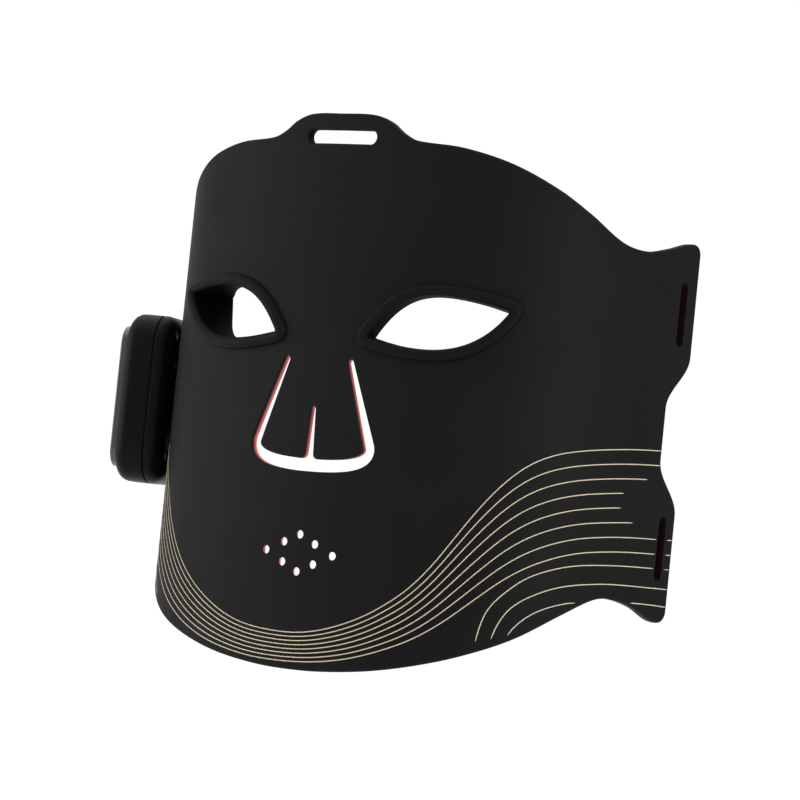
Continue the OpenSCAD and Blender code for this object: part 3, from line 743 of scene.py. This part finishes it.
SIDE_LINES = (((75, -115.1), (75.8, -110), (77, -105.4), (79.2, -101), (83, -97.3), (89, -91.6),
    (96.5, -87.6), (104.5, -85), (113, -83.3), (131, -82), (156.9, -81.6)),
    ((80.6, -113.6), (82, -109), (84, -104.7), (88.2, -99.9), (97.3, -94.8), (105.2, -92),
    (113.4, -90.5), (122.3, -89.5), (132, -89.1), (156.9, -89.1)),
    ((86.6, -111.7), (89, -107.8), (93.4, -103.8), (98.5, -101), (106, -98.3), (112, -97.3)),
    ((137.8, -95.4), (147, -95.4), (157.2, -95.8)))


def catmull(points):
    """Evenly run smooth path through a few points."""
    p = [Vector(q) for q in points]
    p = [2 * p[0] - p[1]] + p + [2 * p[-1] - p[-2]]
    path = []
    for a, b, c, d in zip(p, p[1:], p[2:], p[3:]):
        count = max(2, round((c - b).length / LINE_STEP))
        for t in (k / count for k in range(count)):
            path.append(0.5 * (2 * b + (c - a) * t + (2 * a - 5 * b + 4 * c - d) * t * t
                + (3 * b - a - 3 * c + d) * t ** 3))
    return path + [p[-2]]


def even(path, reach):
    """Evens out a path over a few steps, with its ends kept."""
    new = []
    for i in range(len(path)):
        k = min(reach, i, len(path) - 1 - i)
        new.append(sum(path[i - k:i + k + 1], Vector((0, 0))) / (2 * k + 1))
    return new


def clear_of_slots(path, least=4, under=None):
    """The runs of a path that stay out of the side strap slots, and under a line."""
    points = np.array([(p.x, p.y) for p in path])
    free = ~np.any([inside(points, slot_loop(s, z, wide + 1.2, high + 1.2))
        for s, z, wide, high in SIDE_SLOTS], axis=0)
    if under:
        free &= np.array([p.y < height(under, abs(p.x)) - LINE_GAP for p in path])
    runs, run = [], []
    for p, clear in zip(path, free):
        if clear:
            run.append(p)
        elif run:
            runs.append(run)
            run = []
    return [r for r in runs + [run] if len(r) >= least]


def line_paths():
    """The lines that sweep across the chin, then the short ones at the sides."""
    paths = []
    for i, end in enumerate(LINE_ENDS):
        share = i / (len(LINE_ENDS) - 1)
        path = []
        for k in range(-round(end / LINE_STEP), round(end / LINE_STEP) + 1):
            s = min(end, max(-end, k * LINE_STEP))
            first, last = (LEFT_FIRST, LEFT_LAST) if s < 0 else (RIGHT_FIRST, RIGHT_LAST)
            path.append(Vector((s, height(first, abs(s)) * (1 - share) + height(last,
                abs(s)) * share)))
        paths += clear_of_slots(even(path, 12))
    for points in SIDE_LINES:
        path = even(catmull(points), 8)
        paths += clear_of_slots(path)
        # on the other side the bundle hangs lower, so a line starts only when it is under it
        paths += clear_of_slots([Vector((-p.x, p.y)) for p in path], 30, LEFT_LAST)
    return paths


def build_lines(material):
    """Raised print lines that lie on the lower half of the outer face."""
    mesh = Mesh()
    uvs = []
    shape = ((-1, -0.04), (-0.75, 0.55), (0, 1.0), (0.75, 0.55), (1, -0.04), (0, -0.35))
    for path in line_paths():
        rows, run, last = [], 0.0, len(path) - 1
        for i, p in enumerate(path):
            t = (path[min(i + 1, last)] - path[max(i - 1, 0)]).normalized()
            left = Vector((-t.y, t.x))
            if i:
                run += (p - path[i - 1]).length
            taper = min(1.0, 0.35 + min(i, last - i) * 0.3)
            row = []
            for v, h in shape:
                q = p + left * (v * LINE_W / 2 * taper)
                row.append(mesh.add(pt(q.x, q.y, h * LINE_H),
                    way(p.x, left.x * v, 0.6 if h > 0 else -1, left.y * v)))
                uvs.append((run, v * 0.35))
            rows.append(row)
        mesh.skin(rows)
        mesh.faces += [tuple(rows[0]), tuple(rows[-1][::-1])]
    obj = mesh.build("printed_lines", material)
    layer = obj.data.uv_layers.new(name="thread")
    for loop in obj.data.loops:
        layer.data[loop.index].uv = uvs[loop.vertex_index]
    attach(obj, "mask")


# --- the control box ---
TO_BOX = (Matrix.Translation(pt(BOX_S, BOX_Z, 0)) @ Matrix.Rotation(section(BOX_S)[2], 4, "Z"))


def ring_points(w, h, r, y, corner=10, side=4):
    """Rounded rectangle at depth y of the box, seen from outside, anticlockwise."""
    r = max(0.05, min(r, w / 2 - 0.01, h / 2 - 0.01))
    corners = [arc(cx * (w / 2 - r), cz * (h / 2 - r), r, start, 90, corner)
        for cx, cz, start in ((1, -1, -90), (1, 1, 0), (-1, 1, 90), (-1, -1, 180))]
    points = []
    for a, b in zip(corners, corners[1:] + corners[:1]):
        points += a
        for i in range(1, side + 1):
            t = i / (side + 1)
            points.append((a[-1][0] * (1 - t) + b[0][0] * t, a[-1][1] * (1 - t) + b[0][1] * t))
    return [Vector((x, y, z)) for x, z in points]


def box_ring(inset, y):
    """The box's outline drawn in by an inset, at depth y."""
    return ring_points(BOX_W - 2 * inset, BOX_H - 2 * inset, BOX_R - inset, y)


def hoop(x, y, z, ry, rz, count):
    """Ring round a line along x."""
    return [Vector((x, y + ry * a, z + rz * b)) for a, b in arc(0, 0, 1, 0, 360, count)[:-1]]


def bm_object(name, bm, place=TO_BOX):
    mesh = bpy.data.meshes.new(name)
    bm.to_mesh(mesh)
    bm.free()
    obj = link(name, mesh)
    obj.matrix_world = place
    return obj


def loft(name, rings):
    """Closed skin through rings with the same number of points, in box millimetres.
    Rings run from the back to the front; flat ends are filled."""
    bm = bmesh.new()
    rows = [[bm.verts.new(p * MM) for p in ring] for ring in rings]
    for a, b in zip(rows, rows[1:]):
        for i in range(len(a)):
            j = (i + 1) % len(a)
            bm.faces.new((a[i], a[j], b[j], b[i]))
    bm.faces.new(rows[0][::-1])
    bm.faces.new(rows[-1])
    bmesh.ops.recalc_face_normals(bm, faces=bm.faces)
    return bm_object(name, bm)


def carve(obj, cutters):
    """Takes the cutters out of a piece for good."""
    for cutter in cutters:
        mod = obj.modifiers.new("cut", "BOOLEAN")
        mod.operation = "DIFFERENCE"
        mod.solver = "EXACT"
        mod.object = cutter
    bpy.context.view_layer.update()
    graph = bpy.context.evaluated_depsgraph_get()
    cut = bpy.data.meshes.new_from_object(obj.evaluated_get(graph))
    obj.modifiers.clear()
    old = obj.data
    obj.data = cut
    bpy.data.meshes.remove(old)
    for cutter in cutters:
        bpy.data.objects.remove(cutter)
    return obj


def join(name, parts):
    """One piece from several closed parts."""
    bm = bmesh.new()
    for part in parts:
        bm.from_mesh(part.data)
        bpy.data.objects.remove(part)
    return bm_object(name, bm)


def shade(obj, material, angle=32):
    """Smooth shading with hard edges past an angle, even weight and an edge attribute."""
    mesh = obj.data
    mesh.transform(obj.matrix_world)
    obj.matrix_world = Matrix.Identity(4)
    for p in mesh.polygons:
        p.use_smooth = True
    mesh.set_sharp_from_angle(angle=radians(angle))
    mod = obj.modifiers.new("even_normals", "WEIGHTED_NORMAL")
    mod.keep_sharp = True
    layer = mesh.attributes.new("edge", "FLOAT", "POINT")
    bm = bmesh.new()
    bm.from_mesh(mesh)
    values = [min(1.0, 2 * max([e.calc_face_angle(0)
        for e in v.link_edges if len(e.link_faces) == 2] or [0])) for v in bm.verts]
    bm.free()
    layer.data.foreach_set("value", values)
    return paint(obj, material)


def quarter(r, steps):
    """Steps of a rounded edge of radius r: (inset, how far along)."""
    return [(r - x, y) for x, y in arc(0, 0, r, 0, 90, steps)]


def prism(x, z, rings):
    """Turned part: rings of (radius, y)."""
    return loft("cutter", [[Vector((a, y, b)) for a, b in arc(x, z, r, 0, 360, 48)[:-1]]
        for r, y in rings])


def slab_cutter(w, h, r, y0, y1):
    return loft("cutter", [ring_points(w, h, r, y0), ring_points(w, h, r, y1)])


def screw_places():
    """The lower case screws stand higher, clear of the socket."""
    return [(x * SCREW_X, z * SCREW_Z + (3 if z < 0 else 0)) for x in (-1, 1) for z in (-1, 1)]


def front_case(material):
    """Front half of the case: pocket for the plate, bores, port recess and hinge groove."""
    back = SPLIT_Y - SEAL_T / 2
    rings = [box_ring(i, back - d) for i, d in ((0.7, 0), (0.35, 0.0), (0.1, 0.12), (0, 0.35),
        (0, 2.5), (0, 5))]
    rings += [box_ring(i, BOX_FRONT + FRONT_EDGE - d) for i, d in quarter(FRONT_EDGE, 14)]
    body = loft("front_case_shell", rings)
    pocket = PLATE_INSET + 0.65
    button_r, past = BUTTON_D / 2 + 1.6, BOX_FRONT - 3
    cutters = [loft("cutter", [box_ring(pocket, BOX_FRONT + 0.9), box_ring(pocket, past)]),
        prism(0, BUTTON_Z, ((button_r, BUTTON_FLOOR), (button_r, past))),
        prism(0, LIGHT_Z, ((LIGHT_R, BUTTON_FLOOR - 1), (LIGHT_R, past)))]
    # the recess of the port cover and the hole of the socket behind it
    for w, h, r, y0, y1, lift in ((14.4, 3.4, 0.5, HINGE_Y - 6.6, HINGE_Y + 1.3, 0.7),
            (9.3, 14, 0.6, PORT_Y - 1.8, PORT_Y + 1.8, 0)):
        cutter = slab_cutter(w, h, r, y0, y1)
        cutter.location = TO_BOX @ Vector((0, 0, (lift - BOX_H / 2) * MM))
        cutters.append(cutter)
    cutters.append(loft("cutter", [hoop(x, HINGE_Y, HINGE_Z, 0.7, 0.7, 20) for x in (-8.4, 8.4)]))
    carve(body, cutters)
    settle(shade(body, material), "front_case")


def back_case(material):
    """Back half of the case, with its screw recesses, clamp holes and ribbon slot."""
    front = SPLIT_Y + SEAL_T / 2
    rings = [box_ring(i, BOX_BACK - BACK_EDGE + d) for i, d in reversed(quarter(BACK_EDGE, 14))]
    rings += [box_ring(i, front + d) for i, d in ((0, 0.35), (0.1, 0.12), (0.35, 0.0), (0.7, 0.0))]
    body = loft("back_case_shell", rings)
    cutters = [prism(x, z, ((2.2, BOX_BACK - 1.4), (2.2, BOX_BACK + 1))) for x, z in screw_places()]
    cutters += [prism(0, z, ((1.05, BOX_BACK - 3), (1.05, BOX_BACK + 1))) for z in CLAMP_Z]
    cutters.append(slab_cutter(2.6, 8.6, 0.4, BOX_BACK - 3, BOX_BACK + 1))
    carve(body, cutters)
    settle(shade(body, material), "back_case")


def case_seal(material):
    """Soft gasket that bulges slightly out of the joint line."""
    half = SEAL_T / 2 - FIT
    outer = [box_ring(0.5 - 0.25 * bulge, SPLIT_Y + half * along)
        for along, bulge in arc(0, 0, 1, 0, 180, 6)]
    body = loft("case_gasket", outer)
    carve(body, [slab_cutter(BOX_W - 3.8, BOX_H - 3.8, BOX_R - 2, SPLIT_Y + half + 1,
        SPLIT_Y - half - 1)])
    settle(shade(body, material), "case_seal")


def face_plate(material):
    """Thin plate over the front, proud of the case, with a dished ring round the button."""
    top, front = PLATE_T - FIT - 0.02, BOX_FRONT - PLATE_T
    steps = ((1.2, 0), (0.25, 0), (0.05, 0.1), (0, 0.3), (0, top - 1.3), (0, top - 0.8),
        (0.06, top - 0.48), (0.2, top - 0.22), (0.45, top - 0.06), (0.8, top), (1.6, top))
    body = loft("front_plate", [box_ring(PLATE_INSET + i, BOX_FRONT - FIT - d) for i, d in steps])
    r = BUTTON_D / 2 + 0.3
    dish = prism(0, BUTTON_Z, ((r, BOX_FRONT + 1), (r, BOX_FRONT - 1.15),
        (r + 0.25, BOX_FRONT - 1.3), (r + 1.1, front), (r + 1.4, front - 0.4)))
    lens = prism(0, LIGHT_Z, ((LIGHT_R, BOX_FRONT + 1), (LIGHT_R, front + 0.2),
        (LIGHT_R + 0.4, front - 0.2)))
    carve(body, [dish, lens])
    settle(shade(body, material), "face_plate")


def power_button(material):
    """Dished round key with a rounded rim, a ring groove and a flange behind the plate."""
    front, r = BOX_FRONT - PLATE_T - 0.4, BUTTON_D / 2 - 0.06
    rings = ((1.5, BOX_FRONT + 3.2), (1.5, BOX_FRONT + 2.3), (r + 1, BOX_FRONT + 2.3),
        (r + 1, BOX_FRONT + 1.0), (r, BOX_FRONT + 0.9), (r, front + 0.45), (r - 0.1, front + 0.18),
        (r - 0.35, front + 0.03), (r - 0.6, front), (r - 1.1, front), (r - 1.4, front + 0.1),
        (r - 1.5, front + 0.35), (r - 1.9, front + 0.35), (r - 2.1, front + 0.2),
        (r - 2.6, front + 0.16), (r - 4, front + 0.24), (0.4, front + 0.3))
    body = prism(0, BUTTON_Z, rings)
    body.name = body.data.name = "power_key"
    settle(shade(body, material, 40), "power_button", "power_button")


def door_section(pull, r=0.35):
    """Rounded outline of the port's door from the side, drawn in by a pull."""
    top, low = HINGE_Z + 0.45 - pull - r, HINGE_Z - 0.95 + pull + r
    near, far = HINGE_Y - pull - r, HINGE_Y - 6.2 + pull + r
    points = []
    for y, z, start in ((near, top, 0), (far, top, 90), (far, low, 180), (near, low, 270)):
        points += arc(y, z, r, start, 90, 4)
    return points


def port_cover(material):
    """Soft door with a finger lip, a raised grip and its hinge barrel."""
    ends = ((6.8, 0.25), (6.7, 0.08), (6.5, 0.0), (3, 0.0))
    rows = [(-x, pull) for x, pull in ends] + [(0, 0.0)] + list(reversed(ends))
    parts = [loft("door", [[Vector((x, y, z)) for y, z in door_section(pull)]
        for x, pull in rows])]
    shaft = ((8.2, 0.45), (8.05, 0.6), (6.8, 0.6), (6.79, 0.85), (6.65, 0.95))
    parts.append(loft("barrel", [hoop(x, HINGE_Y, HINGE_Z, r, r, 24)
        for x, r in [(-x, r) for x, r in shaft] + list(reversed(shaft))]))
    for y in (4.4, 5, 5.6):
        parts.append(loft("rib", [hoop(x, HINGE_Y - y, HINGE_Z - 0.93, 0.22, 0.10, 12)
            for x in (-4.2, -4, 4, 4.2)]))
    body = join("port_door", parts)
    settle(shade(body, material, 35), "port_cover", "port_cover")


def cross_cutter(x, y0, y1, z, size):
    """Cutter for a cross recess: two tapered blades."""
    blades = []
    for wide, high in ((size, size * 0.24), (size * 0.24, size)):
        blades.append(loft("cutter", [[Vector((x + a * wide / 2 * k, y, z + b * high / 2 * k))
            for a, b in ((-1, -1), (1, -1), (1, 1), (-1, 1))]
            for y, k in ((y0, 1.0), (y1, 0.55))]))
    return blades


def screws(name, places, head_r, y_top, y_head, y_end, material, node):
    """Pan-head screws with a cross recess and threaded shanks, heads to the skin side."""
    parts, cutters, shank_r, pitch = [], [], 1, 0.4
    for x, z in places:
        rings = [(0.3, y_top), (head_r * 0.6, y_top - 0.02), (head_r * 0.85, y_top - 0.12),
            (head_r, y_top - 0.4), (head_r, y_head), (shank_r, y_head)]
        for i in range(int(abs(y_end - y_head) / pitch)):
            y = y_head - 0.1 - i * pitch
            rings += [(shank_r, y), (shank_r * 0.82, y - pitch / 2)]
        rings.append((0.2, y_end))
        parts.append(prism(x, z, rings))
        cutters += cross_cutter(x, y_top + 0.1, y_top - 0.85, z, head_r * 1.1)
    body = carve(join(name, parts), cutters)
    settle(shade(body, material, 30), node)


def mounting_pads(material):
    """Three soft pads that follow the sheet behind the box."""
    parts = []
    for z, h in PADS:
        part = loft("pad", [ring_points(PAD_W - 2 * i, h - 2 * i, 4 - i, y)
            for i, y in ((0.8, -0.12), (0.25, -0.18), (0.0, -0.45), (0.12, -1.1), (0.0, -1.75),
            (0.25, -1.98), (0.8, -2.05))])
        part.data.transform(Matrix.Translation((0, 0, z * MM)))
        parts.append(part)
    cutters = [prism(0, z, ((1.6, 1), (1.6, -4))) for z in CLAMP_Z]
    cutters.append(slab_cutter(3, 9, 0.4, 1, -4))
    body = carve(join("box_pads", parts), cutters)
    settle(shade(body, material), "mounting_pads")


def retaining_plate(material):
    """Curved plate with rounded edges on the skin side, clamped by two screws."""
    mesh = Mesh()
    edge, x, z = [], CLAMP_W / 2 - CLAMP_R, CLAMP_H / 2 - CLAMP_R
    for cs, cz, start in ((x, -z, -90), (x, z, 0), (-x, z, 90), (-x, -z, 180)):
        edge += arc(BOX_S + cs, BOX_Z + cz, CLAMP_R, start, 90, 8)
    loops = [resample(edge, 0.8)] + box_holes(2.3, 3.2, 9.2, 24)
    rims = [rounded_rim(0.15, 1.2, 0.45, 0.3)] + [rounded_rim(0.15, 1.2, 0.25, 0.25)] * 3
    wrap_sheet(mesh, loops, rims, -SHEET_T - FIT - 0.02, 2.0)
    settle(mesh.build("clamp_plate", material), "retaining_plate")


# --- put it together ---
black_silicone = silicone("black_silicone", (0.0022, 0.0022, 0.0023), (0.0034, 0.0033, 0.0035),
    (0.005, 0.005, 0.0052), (0.5, 0.64), specular=0.05, dust=0.12)
shield_silicone = silicone("shield_silicone", (0.002, 0.002, 0.0021), (0.0032, 0.0032, 0.0034),
    (0.006, 0.006, 0.0063), (0.5, 0.6), specular=0.04)
# painted shade: a darker copy of the shield silicone for the sleeve's inner wall
shaded_sleeve_silicone = silicone("shaded_sleeve_silicone", (0.0008, 0.0008, 0.0009), (0.0014, 0.0014, 0.0015),
    (0.002, 0.002, 0.002), (0.6, 0.7), specular=0.01)
# painted shade: the walls of the liner's openings run to a dark red
liner_silicone = silicone("liner_silicone", (0.42, 0.035, 0.03), (0.52, 0.055, 0.045),
    (0.95, 0.36, 0.38), (0.4, 0.55), specular=0.4, dust=0.05, painted_shade=(0.06, 0.004, 0.004))
case_plastic = plastic("case_plastic", (0.0014, 0.0014, 0.0015), (0.0024, 0.0024, 0.0025),
    (0.005, 0.005, 0.0052), (0.36, 0.48), specular=0.045)
plate_plastic = plastic("plate_plastic", (0.009, 0.009, 0.0094), (0.014, 0.014, 0.0144),
    (0.04, 0.04, 0.04), (0.18, 0.3), specular=0.55, grain=0.00001)
button_plastic = plastic("button_plastic", (0.012, 0.012, 0.0125), (0.018, 0.018, 0.0185),
    (0.06, 0.06, 0.06), (0.3, 0.42), specular=0.5)
seal_rubber = silicone("seal_rubber", (0.0015, 0.0015, 0.0016), (0.0024, 0.0024, 0.0025),
    (0.004, 0.004, 0.0041), (0.6, 0.75), specular=0.04)
pad_rubber = silicone("pad_rubber", (0.008, 0.008, 0.008), (0.012, 0.012, 0.012),
    (0.025, 0.025, 0.025), (0.65, 0.8), specular=0.25, grain=0.00012)
screw_steel = metal("screw_steel", (0.42, 0.42, 0.43), (0.25, 0.42))
port_metal = metal("port_metal", (0.62, 0.61, 0.6), (0.2, 0.35))
film = flexible_circuit()
package = light_package("light_package")

build_shell(black_silicone)
build_liner(liner_silicone)
# painted shade: the slot collars are coloured near black to stand for the shade inside the slots
build_slot_rims("side_slot_rims", SIDE_SLOTS, 2.44,
    silicone("slot_shade_silicone", (0.004, 0.0008, 0.0008), (0.0055, 0.001, 0.001),
    (0.007, 0.0014, 0.0013), (0.5, 0.6), specular=0.03))
build_slot_rims("top_slot_rim", [TOP_SLOT], 1.0, silicone("top_slot_shade_silicone", (0.001, 0.001, 0.001),
    (0.002, 0.002, 0.002), (0.003, 0.003, 0.003), (0.5, 0.6), specular=0.02))
build_windows(window_silicone())
for side in (1, -1):
    build_eye_shield(side, shield_silicone, shaded_sleeve_silicone)
build_lines(thread_material())
front_case(case_plastic)
back_case(case_plastic)
case_seal(seal_rubber)
face_plate(plate_plastic)
power_button(button_plastic)
port_cover(seal_rubber)
screws("case_screw_set", screw_places(), CASE_HEAD_R, BOX_BACK - 0.1, BOX_BACK - 1.3,
    BOX_FRONT + 6.7, screw_steel, "case_screws")
screws("clamp_screw_set", [(0, z) for z in CLAMP_Z], CLAMP_HEAD_R, SHEET_T + 2.6, SHEET_T + 1.4,
    BOX_BACK - 1.7, screw_steel, "retaining_screws")
mounting_pads(pad_rubber)
retaining_plate(case_plastic)

SHOWN = {"ribbon_tail": film, "control_board": laminate(), "charge_port": port_metal,
    "button_switch": button_plastic, "status_light": light_package("light_guide"),
    "battery_cell": metal("cell_foil", (0.6, 0.6, 0.62), (0.3, 0.5)),
    "battery_pad": silicone("foam", (0.02, 0.02, 0.02), (0.03, 0.03, 0.03), (0.05, 0.05, 0.05),
    (0.8, 0.95), grain=0.0003)}
for area in ("forehead", "cheek_left", "cheek_right", "chin", "nose"):
    SHOWN["board_" + area] = film
    SHOWN["lights_" + area] = package
for name, material in SHOWN.items():
    paint(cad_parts[name], material)


# --- floor, light and camera ---
FLOOR_Z = -0.32


def floor():
    """Plain pale floor, well below the object."""
    m = Look("pale_floor")
    tone = m.ramp(m.noise(8), (0.3, (0.86, 0.86, 0.86)), (0.7, (0.9, 0.9, 0.9)))
    bm = bmesh.new()
    bmesh.ops.create_grid(bm, x_segments=40, y_segments=40, size=2.6)
    obj = bm_object("floor", bm, Matrix.Translation((0, 0, FLOOR_Z)))
    paint(obj, m.done(tone, (m.noise(40), 0.6, 0.75), ()))


def panel(name, place, target, size, power):
    """A soft rectangular light."""
    light = bpy.data.lights.new(name, "AREA")
    light.shape = "RECTANGLE"
    light.size, light.size_y = size
    light.energy = power
    obj = link(name, light)
    obj.location = place
    obj.rotation_euler = (Vector(target) - Vector(place)).to_track_quat("-Z", "Y").to_euler()


CAMERA_AZ, CAMERA_EL, CAMERA_ROLL = 34.0, -2.276, 5.845
CAMERA_D, CAMERA_LENS = 1.3715, 158.46
CAMERA_AT = Vector((0, 0.0506, -0.0283))
CAMERA_SHIFT = (6.23 / 800, 4.24 / 800)


def camera():
    """The photograph's viewpoint."""
    az, el = radians(CAMERA_AZ), radians(CAMERA_EL)
    back = Vector((sin(az) * cos(el), -cos(az) * cos(el), sin(el)))
    data = bpy.data.cameras.new("camera")
    data.lens = CAMERA_LENS
    data.sensor_width = 36
    data.shift_x, data.shift_y = CAMERA_SHIFT
    data.clip_start, data.clip_end = 0.05, 60
    obj = link("camera", data)
    turn = back.to_track_quat("Z", "Y").to_matrix().to_4x4()
    obj.matrix_world = (Matrix.Translation(CAMERA_AT + CAMERA_D * back) @ turn
        @ Matrix.Rotation(radians(CAMERA_ROLL), 4, "Z"))
    bpy.context.scene.camera = obj


def studio():
    """A white tent with a broad soft panel on each side."""
    scene = bpy.context.scene
    scene.view_settings.view_transform = "Standard"
    world = bpy.data.worlds.new("studio")
    world.use_nodes = True
    background = world.node_tree.nodes["Background"]
    background.inputs["Color"].default_value = (1, 1, 1, 1)
    background.inputs["Strength"].default_value = 1.03
    scene.world = world
    panel("overhead", (0, 0.5, 3.5), (0, 0.5, 0), (6, 6), 190)
    panel("left_panel", (-1.9, -1.15, 0.2), (0, 0, 0), (1.4, 2.4), 44)
    panel("right_panel", (2.2, -0.6, 0.2), (0, 0, 0), (1.6, 2.4), 75)


camera()
floor()
studio()
